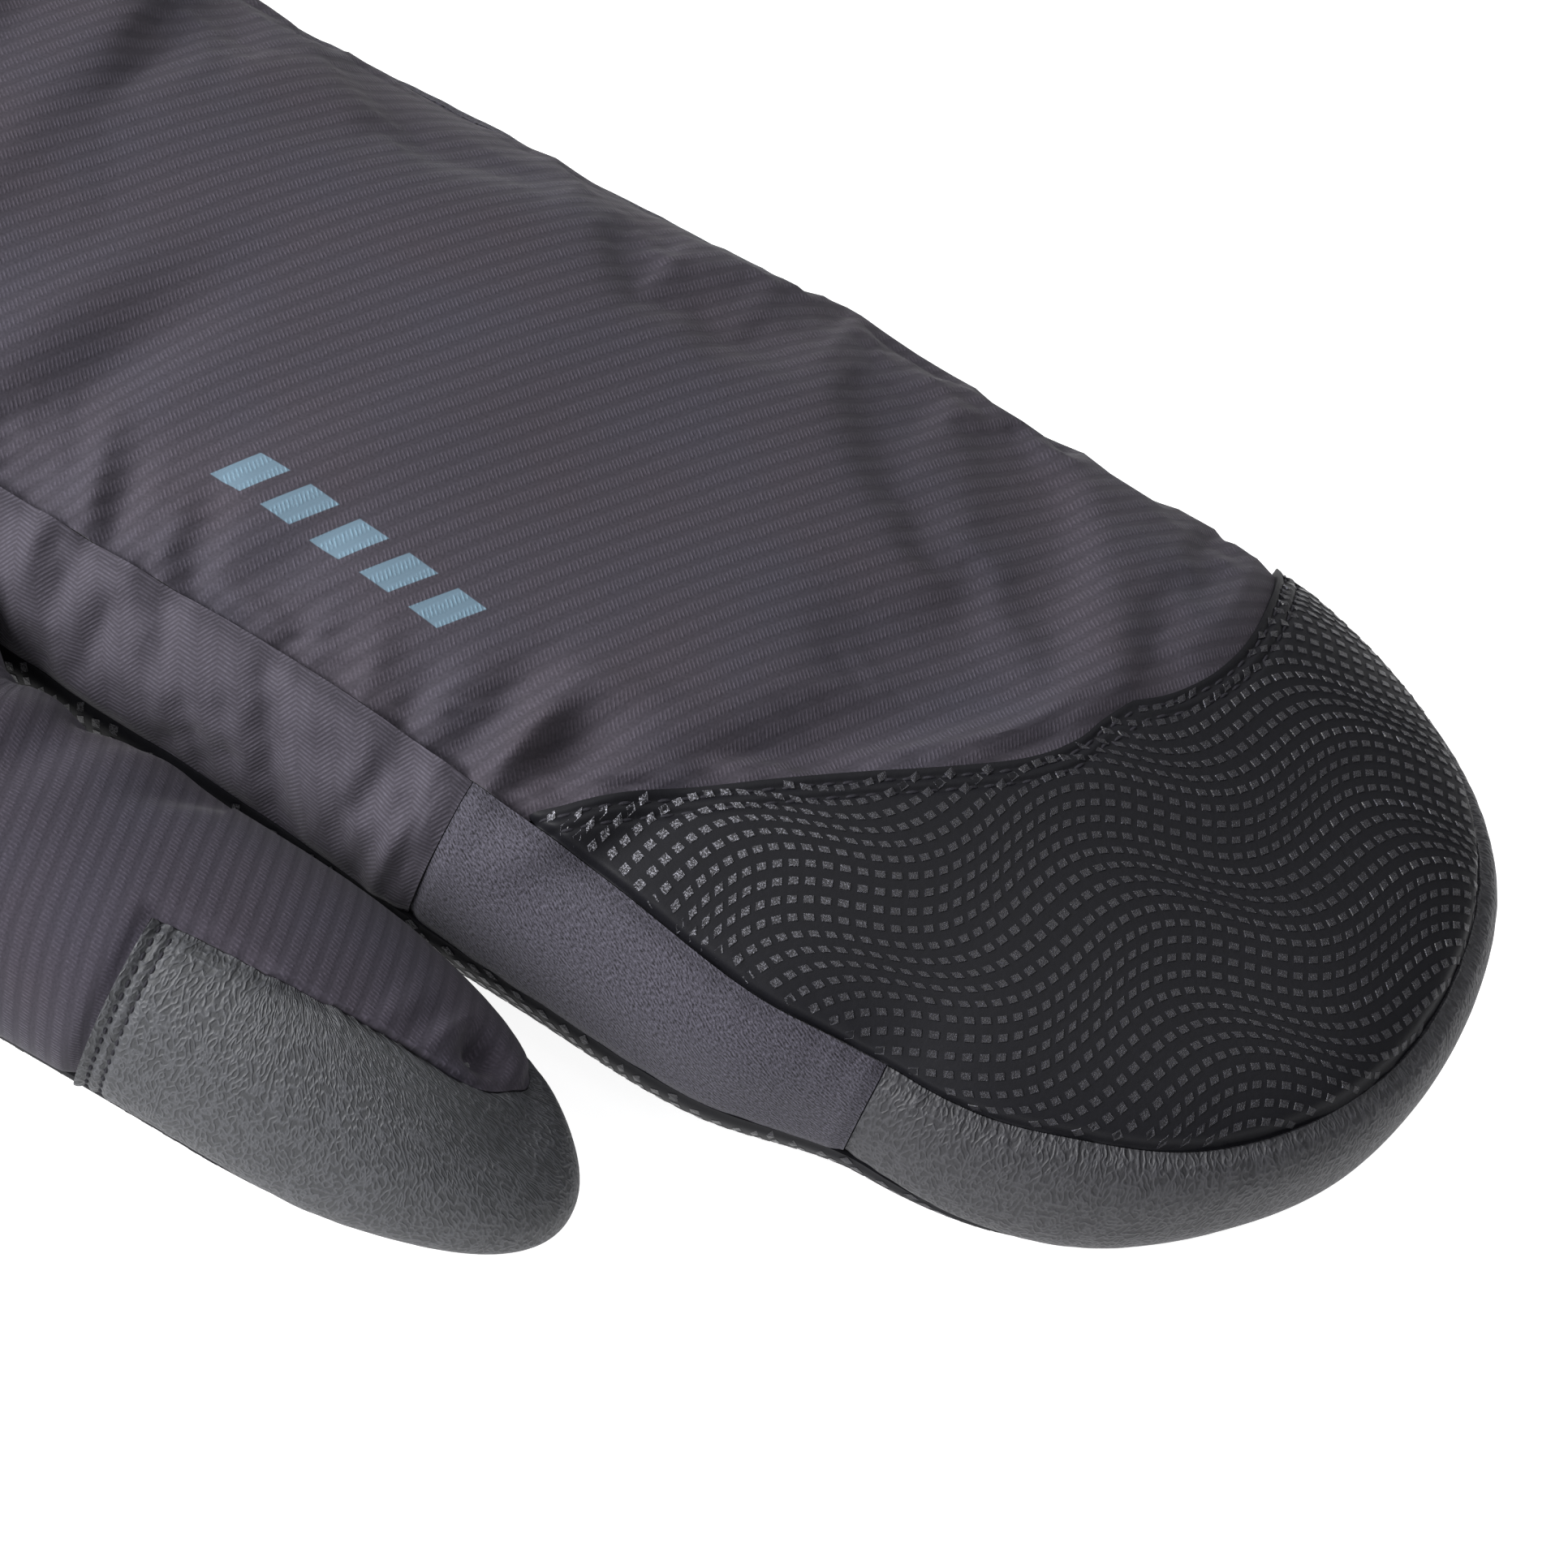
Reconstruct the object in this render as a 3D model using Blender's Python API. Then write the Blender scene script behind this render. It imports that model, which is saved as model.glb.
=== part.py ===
"""Insulated left-hand mitten, palm down on its rest face, as padded panels around an open hollow.

Metres. +X points to the fingertips, -Y to the thumb side, +Z up. Z = 0 is the rest face under the palm.
The hand with its cuff is one limb and the thumb another. A limb is a spine in plan with half widths,
heights and a rounded tip, and every panel is a piece of a limb's surface with a padded wall under it.
"""

import math

import bmesh
import bpy
import numpy as np

# Lengths along the mitten
HAND_LENGTH = 0.225
CUFF_LENGTH = 0.060
TIP_REACH = 0.054
REST_TO_TIP = 0.099

# Across and up
HAND_WIDTH = 0.104
HAND_DEPTH = 0.047

# Thumb
THUMB_LENGTH = 0.1453
THUMB_BEND = 0.060
THUMB_REACH = 0.043
THUMB_WIDTH = 0.0350
THUMB_DEPTH = 0.0332
THUMB_GAP = 0.0056
THUMB_TIP_BEHIND = 0.0807
THUMB_TOE_OUT = 0.0014
PATCH_LENGTH = 0.0575

# Walls, seams and clearances
WALL = 0.0035
SEAM_GAP = 0.0004
CUT_CLEARANCE = 0.0004
BORE_RELIEF = 0.0005

# Where the thumb-side gusset changes cloth, behind the fingertips
CROSS_SEAM_BEHIND = 0.1155
LEATHER_START_BEHIND = 0.0572

# Roundness of the sections, and of the tips in plan on the near and the far side: 2 for an ellipse, more for a
# boxier one
HAND_POWER = 2.6
HAND_TIP_POWERS = (2.10, 2.19)
THUMB_POWER = 2.4
THUMB_TIP_POWERS = (2.10, 2.02)
# How far the round underside would pass the floor, which flattens it to the rest face
FLOOR_PRESS_RATIO = 1.04
# A step in a limb's open plan is this share of the step it makes on the surface
PLAN_SHRINK = 0.8

# Each row: part of the limb, share along that part, near half width, far half width (shares of HAND_WIDTH).
HAND_PLAN = (
    ("cuff", 0.00, 0.580, 0.580),
    ("cuff", 0.50, 0.535, 0.530),
    ("hand", 0.00, 0.476, 0.500),
    ("hand", 0.42, 0.516, 0.483),
    ("hand", 0.73, 0.549, 0.487),
    ("hand", 0.88, 0.558, 0.487),
    ("hand", 1.00, 0.511, 0.484),
)

# Each row: part, share along that part, top, widest height, underside (shares of HAND_DEPTH).
HAND_SIDE = (
    ("cuff", 0.00, 1.220, 0.600, 0.000),
    ("cuff", 0.50, 1.080, 0.540, 0.000),
    ("hand", 0.00, 0.950, 0.480, 0.000),
    ("hand", 0.41, 0.988, 0.490, 0.000),
    ("hand", 0.73, 0.922, 0.470, 0.000),
    ("hand", 0.87, 0.880, 0.450, 0.020),
    ("hand", 1.00, 0.900, 0.520, 0.090),
)

# Each row: share along the thumb, half width (share of THUMB_WIDTH).
THUMB_PLAN = (
    (0.00, 0.521),
    (0.35, 0.505),
    (0.70, 0.500),
    (1.00, 0.500),
)

# Each row: share along the thumb, top, widest height, underside (shares of THUMB_DEPTH).
THUMB_SIDE = (
    (0.00, 1.040, 0.480, 0.000),
    (0.40, 1.020, 0.480, 0.000),
    (0.69, 1.000, 0.460, 0.000),
    (0.85, 0.885, 0.410, 0.000),
    (1.00, 0.755, 0.330, 0.040),
)

# Each row: turn in degrees, level. Turn -90 to 90 goes round the tip, and past that each radian is one reach
# back along that side. Level is 1 on top, 0 at the widest height and -1 underneath.
BACK_SEAM = (
    (-265.0, 0.655),
    (-215.0, 0.668),
    (-172.0, 0.667),
    (-147.0, 0.640),
    (-122.0, 0.590),
    (-105.0, 0.527),
    (-93.0, 0.463),
    (-81.0, 0.467),
    (-66.0, 0.508),
    (-47.0, 0.483),
    (-20.0, 0.480),
    (10.0, 0.490),
    (60.0, 0.520),
    (110.0, 0.600),
    (265.0, 0.620),
)
PALM_SEAM = (
    (-265.0, -0.260),
    (-150.0, -0.270),
    (-93.0, -0.360),
    (-66.0, -0.520),
    (0.0, -0.560),
    (66.0, -0.500),
    (110.0, -0.300),
    (265.0, -0.260),
)
THUMB_BACK_SEAM = (
    (-260.0, 0.840),
    (-114.0, 0.905),
    (-100.0, 0.916),
    (-92.0, 0.930),
    (-73.0, 0.943),
    (-42.0, 0.948),
    (-24.0, 0.943),
    (-6.0, 0.875),
    (2.0, 0.820),
    (12.0, 0.680),
    (22.0, 0.560),
    (50.0, 0.460),
    (100.0, 0.420),
    (260.0, 0.420),
)
THUMB_PALM_SEAM = (
    (-260.0, -0.450),
    (0.0, -0.500),
    (260.0, -0.300),
)

# Turns in degrees where the thumb's tongue rounds off at its near and far corner
TONGUE_CORNERS = (-6.0, 30.0)

# Each row: share from the near corner to the far one, distance behind the fingertips (share of TIP_REACH).
CAP_LINE = (
    (0.00, 1.972),
    (0.13, 1.730),
    (0.23, 1.511),
    (0.38, 1.217),
    (0.44, 1.083),
    (0.53, 0.959),
    (0.65, 0.854),
    (0.78, 0.807),
    (0.89, 0.800),
    (1.00, 0.869),
)

# Soft folds. Each row: limb, share along (0 tip, 1 wrist or root), share across (-1 near, 1 far),
# run in degrees from +X, half length and half width (shares of the limb's width), height (share of WALL).
FOLDS = (
    ("hand", 0.455, -0.640, 62.0, 0.120, 0.034, 0.520),
    ("hand", 0.430, -0.560, 62.0, 0.110, 0.036, -0.420),
    ("hand", 0.760, -0.450, 38.0, 0.260, 0.050, -0.380),
    ("hand", 0.700, -0.300, 38.0, 0.240, 0.055, 0.260),
    ("hand", 0.560, 0.550, 12.0, 0.260, 0.060, 0.240),
    ("hand", 0.800, -0.760, 78.0, 0.070, 0.026, -0.360),
    ("hand", 0.720, -0.780, 82.0, 0.070, 0.026, -0.320),
    ("hand", 0.950, 0.100, 90.0, 0.420, 0.045, -0.450),
    ("hand", 0.895, 0.300, 84.0, 0.260, 0.040, 0.300),
    ("thumb", 0.640, -0.200, 20.0, 0.300, 0.070, -0.400),
    ("thumb", 0.560, 0.300, 32.0, 0.340, 0.080, 0.300),
    ("thumb", 0.720, 0.250, 44.0, 0.380, 0.080, -0.420),
    ("thumb", 0.135, 0.120, 80.0, 0.170, 0.080, -0.300),
)

# Each row: panel, colour as red, green, blue (sRGB shares), roughness.
FINISHES = (
    ("back_panel", (0.267, 0.259, 0.286), 0.90),
    ("fingertip_cap", (0.149, 0.145, 0.165), 0.85),
    ("palm_panel", (0.141, 0.137, 0.153), 0.85),
    ("gusset_thumb_rear", (0.333, 0.322, 0.365), 0.90),
    ("gusset_thumb_front", (0.302, 0.290, 0.329), 0.90),
    ("gusset_tip", (0.231, 0.227, 0.247), 0.60),
    ("gusset_outer", (0.302, 0.290, 0.329), 0.90),
    ("thumb_back", (0.318, 0.310, 0.349), 0.90),
    ("thumb_patch", (0.341, 0.345, 0.365), 0.60),
    ("thumb_palm", (0.141, 0.137, 0.153), 0.85),
    ("cuff", (0.267, 0.259, 0.286), 0.90),
)

FINGERTIPS = REST_TO_TIP
WRIST = FINGERTIPS - HAND_LENGTH
MOUTH = WRIST - CUFF_LENGTH
THUMB_TIP = FINGERTIPS - THUMB_TIP_BEHIND
THUMB_ROOT = THUMB_TIP - THUMB_LENGTH
THUMB_INNER = -0.26 * HAND_WIDTH
THUMB_OUTER = -(0.5 * HAND_WIDTH + THUMB_GAP + 0.5 * THUMB_WIDTH)
HALF_TURN = 0.5 * math.pi
CLOSEST_TURNS = math.radians(3.0)


def through(stations, values, at):
    """Smooth curve through table rows, level at both ends."""
    xs = np.asarray(stations, float)
    vs = np.asarray(values, float)
    slopes = np.gradient(vs, xs)
    slopes[0] = slopes[-1] = 0.0
    at = np.clip(at, xs[0], xs[-1])
    i = np.clip(np.searchsorted(xs, at) - 1, 0, len(xs) - 2)
    h = xs[i + 1] - xs[i]
    t = (at - xs[i]) / h
    rise = (3.0 - 2.0 * t) * t * t
    lead = t * (1.0 - t) ** 2 * h * slopes[i]
    trail = t * t * (1.0 - t) * h * slopes[i + 1]
    return vs[i] + (vs[i + 1] - vs[i]) * rise + lead - trail


def column(rows, k):
    """One column of a table as a list."""
    return [row[k] for row in rows]


class Limb:
    """A padded tube that lies on the floor and ends in a rounded tip.

    A place on it is (turn, depth). turn goes round the outline in plan, as in the seam tables, in radians.
    depth is 0 on the top centre line, 1 at the widest height and 2 on the centre line underneath.
    """

    def __init__(self, name, start, tip, reach, power, tip_powers, width):
        self.name = name
        self.start = start
        self.tip = tip
        self.reach = reach
        self.heel = tip - reach
        self.power = power
        self.tip_powers = tip_powers
        self.width = width

    def half(self, s, near):
        """Half width at a station, on the near or the far side."""
        raise NotImplementedError

    def heights(self, s):
        """Top, widest height and underside at a station."""
        raise NotImplementedError

    def spine(self, s):
        """Height-free middle line and its direction at a station."""
        raise NotImplementedError

    def station(self, turn):
        """Station of an outline place on the straight sides."""
        return self.heel - (np.abs(turn) - HALF_TURN) * self.reach

    def turn_at(self, s, near):
        """Turn of a station on one of the straight sides."""
        turn = HALF_TURN + (self.heel - s) / self.reach
        return np.where(near, -turn, turn)

    def radius(self, turn):
        """Reach of the tip's outline in a direction from the heel."""
        side = np.where(turn < 0, self.half(self.heel, True), self.half(self.heel, False))
        along = np.abs(np.cos(turn)) / self.reach
        across = np.abs(np.sin(turn)) / side
        power = np.where(turn < 0, self.tip_powers[0], self.tip_powers[1])
        return (along**power + across**power) ** (-1.0 / power)

    def flat(self, turn, share):
        """Place in the limb's own plan, along and across, at a share of the way out to the outline."""
        turn, share = np.broadcast_arrays(np.asarray(turn, float), np.asarray(share, float))
        tip = np.abs(turn) < HALF_TURN
        s = self.station(turn)
        sign = np.where(turn < 0, -1.0, 1.0)
        width = np.where(turn < 0, self.half(s, True), self.half(s, False))
        r = share * self.radius(np.clip(turn, -HALF_TURN, HALF_TURN))
        along = np.where(tip, self.heel + r * np.cos(turn), s)
        across = np.where(tip, r * np.sin(turn), sign * share * width)
        return along, across

    def bare(self, turn, depth):
        """Outer surface without folds."""
        turn, depth = np.broadcast_arrays(np.asarray(turn, float), np.asarray(depth, float))
        angle = np.clip(depth, 0.0, 2.0) * HALF_TURN
        share = np.abs(np.sin(angle)) ** (2.0 / self.power)
        level = np.sign(np.cos(angle)) * np.abs(np.cos(angle)) ** (2.0 / self.power)
        along, across = self.flat(turn, share)
        top, widest, under = self.heights(along)
        rise = np.where(level > 0, top - widest, FLOOR_PRESS_RATIO * (widest - under))
        z = np.maximum(widest + rise * level, 0.0)
        x0, y0, tx, ty = self.spine(along)
        return np.stack([x0 - ty * across, y0 + tx * across, z], -1)

    def normal(self, turn, depth):
        """Outward unit normal of the bare surface."""
        step = 0.004
        turn, depth = np.broadcast_arrays(np.asarray(turn, float), np.asarray(depth, float))
        d = np.clip(depth, 0.03, 1.97)
        a = self.bare(turn + step, d) - self.bare(turn - step, d)
        b = self.bare(turn, d + step) - self.bare(turn, d - step)
        n = np.cross(b, a)
        n /= np.linalg.norm(n, axis=-1, keepdims=True) + 1e-12
        n[depth < 0.03] = (0.0, 0.0, 1.0)
        n[depth > 1.97] = (0.0, 0.0, -1.0)
        return n

    def folds(self, turn, depth):
        """Height of the soft folds on the top half."""
        along, across = self.flat(turn, np.minimum(depth, 1.0))
        length = self.tip - self.fold_root
        total = np.zeros(np.shape(along))
        for limb, back, side, run, half_length, half_width, height in FOLDS:
            if limb != self.name:
                continue
            s0 = self.tip - back * length
            e0 = side * 0.5 * self.width
            c, s = math.cos(math.radians(run)), math.sin(math.radians(run))
            u = ((along - s0) * c + (across - e0) * s) / (half_length * self.width)
            v = ((across - e0) * c - (along - s0) * s) / (half_width * self.width)
            total += height * WALL * np.exp(-(u**2) - v**2)
        fade = np.clip((1.15 - np.asarray(depth)) / 0.3, 0.0, 1.0)
        return total * fade

    def skin(self, turn, depth, sunk=0.0):
        """Surface with folds, sunk inward by a thickness."""
        n = self.normal(turn, depth)
        rise = self.folds(turn, depth) - sunk
        return self.bare(turn, depth) + n * rise[..., None]

    def depth_of(self, level):
        """Depth of a level between 1 on top and -1 underneath."""
        level = np.asarray(level, float)
        return np.arccos(np.sign(level) * np.abs(level) ** (0.5 * self.power)) / HALF_TURN

    def seam(self, table, turn):
        """Depth of a seam at a turn, from its table of turns and levels."""
        return self.depth_of(through(np.radians(column(table, 0)), column(table, 1), turn))

    def open_plan(self, turn, depth):
        """Plan in which depth from the centre line is even, used to spread a panel's grid."""
        return self.flat(turn, depth)

    def from_plan(self, along, across):
        """Turn and depth of a place in the open plan."""
        near = across < 0
        half = np.where(near, self.half(along, True), self.half(along, False))
        turn = self.turn_at(along, near)
        depth = np.abs(across) / half
        ahead = along > self.heel
        angle = np.arctan2(across, along - self.heel)
        r = np.hypot(along - self.heel, across)
        turn = np.where(ahead, angle, turn)
        depth = np.where(ahead, r / self.radius(angle), depth)
        return turn, depth


class Hand(Limb):
    """The hand and cuff, on a straight spine."""

    fold_root = WRIST

    def stations(self, rows):
        """Stations of table rows given as shares of the cuff or of the hand."""
        end = self.heel if rows is HAND_PLAN else self.tip
        return [
            MOUTH + share * CUFF_LENGTH if part == "cuff" else WRIST + share * (end - WRIST)
            for part, share in zip(column(rows, 0), column(rows, 1))
        ]

    def half(self, s, near):
        return HAND_WIDTH * through(self.stations(HAND_PLAN), column(HAND_PLAN, 2 if near else 3), s)

    def heights(self, s):
        xs = self.stations(HAND_SIDE)
        return tuple(HAND_DEPTH * through(xs, column(HAND_SIDE, k), s) for k in (2, 3, 4))

    def spine(self, s):
        s = np.asarray(s, float)
        return s, np.zeros_like(s), np.ones_like(s), np.zeros_like(s)


class Thumb(Limb):
    """The thumb, on a spine that leaves the palm and turns parallel to the hand."""

    fold_root = THUMB_ROOT

    def half(self, s, near):
        share = (s - self.start) / (self.tip - self.start)
        return THUMB_WIDTH * through(column(THUMB_PLAN, 0), column(THUMB_PLAN, 1), share)

    def heights(self, s):
        share = (s - self.start) / (self.tip - self.start)
        return tuple(THUMB_DEPTH * through(column(THUMB_SIDE, 0), column(THUMB_SIDE, k), share) for k in (1, 2, 3))

    def spine(self, s):
        s = np.asarray(s, float)
        held = np.minimum(s, self.heel)
        t = np.clip((held - self.start) / THUMB_BEND, 0.0, 1.0)
        swing = THUMB_OUTER - THUMB_INNER
        run = self.tip - self.start - THUMB_BEND
        ahead = np.clip(held - self.start - THUMB_BEND, 0.0, None) / run
        first = t < 0.5
        y = THUMB_INNER + swing * np.where(first, 2.0 * t**2, 1.0 - 2.0 * (1.0 - t) ** 2) - THUMB_TOE_OUT * ahead
        slope = swing * 4.0 / THUMB_BEND * np.minimum(t, 1.0 - t)
        slope = slope + np.where(held > self.start + THUMB_BEND, -THUMB_TOE_OUT / run, 0.0)
        size = np.hypot(1.0, slope)
        tx, ty = 1.0 / size, slope / size
        over = s - held
        return held + over * tx, y + over * ty, tx, ty


HAND = Hand("hand", MOUTH, FINGERTIPS, TIP_REACH, HAND_POWER, HAND_TIP_POWERS, HAND_WIDTH)
THUMB = Thumb("thumb", THUMB_ROOT, THUMB_TIP, THUMB_REACH, THUMB_POWER, THUMB_TIP_POWERS, THUMB_WIDTH)


class Panel:
    """One padded panel, gathered from grids of places on a limb and closed into a solid."""

    def __init__(self, limb):
        self.limb = limb
        self.bm = bmesh.new()

    def grid(self, turn, depth, open_sides=(), shut_end=None):
        """Add a grid. Rows run along the first index; open_sides join another grid and stay open.

        shut_end lists the columns whose end side is closed where the rest of that side is joined.
        """
        outer = self.limb.skin(turn, depth)
        inner = self.limb.skin(turn, depth, WALL)
        m, n = outer.shape[:2]
        top = [[self.bm.verts.new(outer[i, j]) for j in range(n)] for i in range(m)]
        low = [[self.bm.verts.new(inner[i, j]) for j in range(n)] for i in range(m)]
        for i in range(m - 1):
            for j in range(n - 1):
                self.bm.faces.new((top[i][j], top[i + 1][j], top[i + 1][j + 1], top[i][j + 1]))
                self.bm.faces.new((low[i][j + 1], low[i + 1][j + 1], low[i + 1][j], low[i][j]))
        for j in range(n - 1):
            if "start" not in open_sides:
                self.bm.faces.new((top[0][j], top[0][j + 1], low[0][j + 1], low[0][j]))
            if "end" not in open_sides or (shut_end and j in shut_end):
                self.bm.faces.new((top[-1][j + 1], top[-1][j], low[-1][j], low[-1][j + 1]))
        for i in range(m - 1):
            if "low" not in open_sides:
                self.bm.faces.new((top[i + 1][0], top[i][0], low[i][0], low[i + 1][0]))
            if "high" not in open_sides:
                self.bm.faces.new((top[i][-1], top[i + 1][-1], low[i + 1][-1], low[i][-1]))

    def build(self, name):
        """Weld the grids and return the object, with its own finish."""
        return finish_mesh(self.bm, name)


def finish_mesh(bm, name):
    """Weld, clean and orient a mesh and link it as an object with its own material."""
    bmesh.ops.remove_doubles(bm, verts=bm.verts, dist=0.000004)
    bmesh.ops.dissolve_degenerate(bm, edges=bm.edges, dist=0.000002)
    bmesh.ops.recalc_face_normals(bm, faces=bm.faces)
    mesh = bpy.data.meshes.new(name)
    bm.to_mesh(mesh)
    bm.free()
    mesh.shade_smooth()
    mesh.set_sharp_from_angle(angle=math.radians(50.0))
    obj = bpy.data.objects.new(name, mesh)
    bpy.context.scene.collection.objects.link(obj)
    for panel, colour, roughness in FINISHES:
        if panel == name:
            material = bpy.data.materials.new(name)
            material.use_nodes = True
            shader = material.node_tree.nodes["Principled BSDF"]
            linear = [c**2.2 for c in colour]
            shader.inputs["Base Color"].default_value = (*linear, 1.0)
            shader.inputs["Roughness"].default_value = roughness
            mesh.materials.append(material)
    return obj


def spread(a, b, count):
    """Evenly spaced values from a to b."""
    return np.linspace(a, b, count)


def near_turns(limb, stations):
    """Turns of stations on the near side."""
    return limb.turn_at(np.asarray(stations, float), True)


def fill_between(left, right, start, end):
    """Grid of plan places inside four edge curves, each an array of (along, across) rows.

    left and right run from start to end; start and end run from left to right.
    """
    m, n = len(left), len(start)
    t = spread(0.0, 1.0, m)[:, None, None]
    q = spread(0.0, 1.0, n)[None, :, None]
    sides = (1 - q) * left[:, None] + q * right[:, None]
    ends = (1 - t) * start[None] + t * end[None]
    low = (1 - q) * left[0] + q * right[0]
    high = (1 - q) * left[-1] + q * right[-1]
    return sides + ends - ((1 - t) * low + t * high)


def plan_curve(limb, turn, depth):
    """Rows of (along, across) in the open plan."""
    return np.stack(limb.open_plan(turn, depth), -1)


def seam_curve(limb, table, turn, out=-1.0, under=False):
    """A seam in the open plan, moved half a gap square to itself, outward or toward the centre line."""
    depth = limb.seam(table, turn)
    curve = plan_curve(limb, turn, 2.0 - depth if under else depth)
    run = np.gradient(curve, axis=0)
    run /= np.linalg.norm(run, axis=1, keepdims=True)
    return curve + out * 0.5 * SEAM_GAP * PLAN_SHRINK * np.stack([run[:, 1], -run[:, 0]], -1)


def spaced(curve, count):
    """The same curve with its points evenly spaced."""
    step = np.linalg.norm(np.diff(curve, axis=0), axis=1)
    run = np.concatenate([[0.0], np.cumsum(step)])
    at = spread(0.0, run[-1], count)
    return np.stack([np.interp(at, run, curve[:, k]) for k in (0, 1)], -1)


def cap_corner_turns():
    """Turns of the near and the far corner of the cap's rear seam."""
    near = near_turns(HAND, FINGERTIPS - CAP_LINE[0][1] * TIP_REACH)
    far_station = FINGERTIPS - CAP_LINE[-1][1] * TIP_REACH
    turns = spread(0.0, HALF_TURN, 400)
    along, _ = HAND.open_plan(turns, HAND.seam(BACK_SEAM, turns))
    far = turns[int(np.argmin(np.abs(along - far_station)))]
    return float(near), float(far)


def cap_line(count, shift):
    """The cap's rear seam in the open plan, near corner to far corner, shifted along the hand."""
    near, far = cap_corner_turns()
    a = plan_curve(HAND, near, HAND.seam(BACK_SEAM, near))
    b = plan_curve(HAND, far, HAND.seam(BACK_SEAM, far))
    q = spread(0.0, 1.0, 400)
    behind = through(column(CAP_LINE, 0), column(CAP_LINE, 1), q) * TIP_REACH
    along = FINGERTIPS - behind
    ends = (along - along[0] - q * (along[-1] - along[0])) + a[0] + q * (b[0] - a[0])
    across = a[1] + q * (b[1] - a[1])
    return spaced(np.stack([ends + shift, across], -1), count)


def back_panel():
    """The cloth on the back of the hand, from the wrist to the cap."""
    near, far = cap_corner_turns()
    gap = 0.5 * SEAM_GAP
    rows, columns = 23, 17
    near_start = float(near_turns(HAND, WRIST + gap))
    far_start = float(HAND.turn_at(WRIST + gap, False))
    back_off = gap / TIP_REACH
    left = spaced(seam_curve(HAND, BACK_SEAM, spread(near_start, near - 3.0 * back_off, 200)), rows)
    right = spaced(seam_curve(HAND, BACK_SEAM, spread(far_start, far + 2.0 * back_off, 200), 1.0), rows)
    end = cap_line(columns, -gap)
    end[0], end[-1] = left[-1], right[-1]
    start = spread(0.0, 1.0, columns)[:, None] * (right[0] - left[0]) + left[0]
    panel = Panel(HAND)
    panel.grid(*unpack(HAND, fill_between(left, right, start, end)))
    return panel.build("back_panel")


def unpack(limb, places):
    """Turns and depths of a grid of plan places."""
    return limb.from_plan(places[..., 0], places[..., 1])


def fingertip_cap():
    """The grip cloth over the fingers, from its rear seam round to the tip's band."""
    near, far = cap_corner_turns()
    gap = 0.5 * SEAM_GAP
    columns, rows = 25, 13
    rear = cap_line(columns, gap)
    arc = spaced(seam_curve(HAND, BACK_SEAM, spread(near, far, 600)), columns)
    rear[0] = 0.5 * (rear[0] + arc[0])
    rear[-1] = 0.5 * (rear[-1] + arc[-1])
    trim = 0.010
    q = spread(0.0, 1.0, columns)
    eased = trim + (1.0 - 2.0 * trim) * q
    rear = np.stack([np.interp(eased, q, rear[:, k]) for k in (0, 1)], -1)
    arc = np.stack([np.interp(eased, q, arc[:, k]) for k in (0, 1)], -1)
    t = spread(0.0, 1.0, rows)[None, :, None]
    places = (1 - t) * rear[:, None] + t * arc[:, None]
    panel = Panel(HAND)
    panel.grid(*unpack(HAND, places))
    return panel.build("fingertip_cap")


def under_panel(limb, table, start_station, rows, columns, name):
    """The panel underneath a limb, inside its lower seam, rounded at the tip."""
    corner = math.radians(48.0)
    near_start = float(limb.turn_at(start_station, True))
    far_start = float(limb.turn_at(start_station, False))

    left = spaced(seam_curve(limb, table, spread(near_start, -corner, 300), -1.0, True), rows)
    right = spaced(seam_curve(limb, table, spread(far_start, corner, 300), 1.0, True), rows)
    end = spaced(seam_curve(limb, table, spread(-corner, corner, 300), -1.0, True), columns)
    start = spread(0.0, 1.0, columns)[:, None] * (right[0] - left[0]) + left[0]
    turn, depth = unpack(limb, fill_between(left, right, start, end))
    panel = Panel(limb)
    panel.grid(turn, 2.0 - depth)
    return panel.build(name)


def band(limb, turns, upper, lower, columns, name):
    """A strip of a limb's side between two seams, along given turns."""
    out = -1.0 if turns[-1] < turns[0] else 1.0
    high_turn, high = limb.from_plan(*seam_curve(limb, upper, turns, out).T)
    low_turn, low = limb.from_plan(*seam_curve(limb, lower, turns, out, True).T)
    high_turn[[0, -1]] = low_turn[[0, -1]] = turns[[0, -1]]
    share = spread(0.0, 1.0, columns)[None]
    depth = high[:, None] + share * (2.0 - low - high)[:, None]
    turn = high_turn[:, None] + share * (low_turn - high_turn)[:, None]
    panel = Panel(limb)
    panel.grid(turn, depth)
    return panel.build(name)


def side_turns(limb, start, end, near, count):
    """Turns along one straight side between two stations, half a gap inside each."""
    gap = 0.5 * SEAM_GAP
    return limb.turn_at(spread(start + gap, end - gap, count), near)


def hand_bands():
    """The gusset round the hand: thumb side in two cloths, the tip in leather, the outer side."""
    cross = FINGERTIPS - CROSS_SEAM_BEHIND
    leather = FINGERTIPS - LEATHER_START_BEHIND
    leather_turn = float(HAND.turn_at(leather + 0.5 * SEAM_GAP, True))
    tip_turns = np.concatenate([[leather_turn], spread(-HALF_TURN, HALF_TURN, 27)])
    return [
        band(HAND, side_turns(HAND, WRIST, cross, True, 17), BACK_SEAM, PALM_SEAM, 7, "gusset_thumb_rear"),
        band(HAND, side_turns(HAND, cross, leather, True, 9), BACK_SEAM, PALM_SEAM, 7, "gusset_thumb_front"),
        band(HAND, tip_turns, BACK_SEAM, PALM_SEAM, 7, "gusset_tip"),
        band(HAND, side_turns(HAND, WRIST, HAND.heel - SEAM_GAP, False, 22), BACK_SEAM, PALM_SEAM, 6, "gusset_outer"),
    ]


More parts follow.
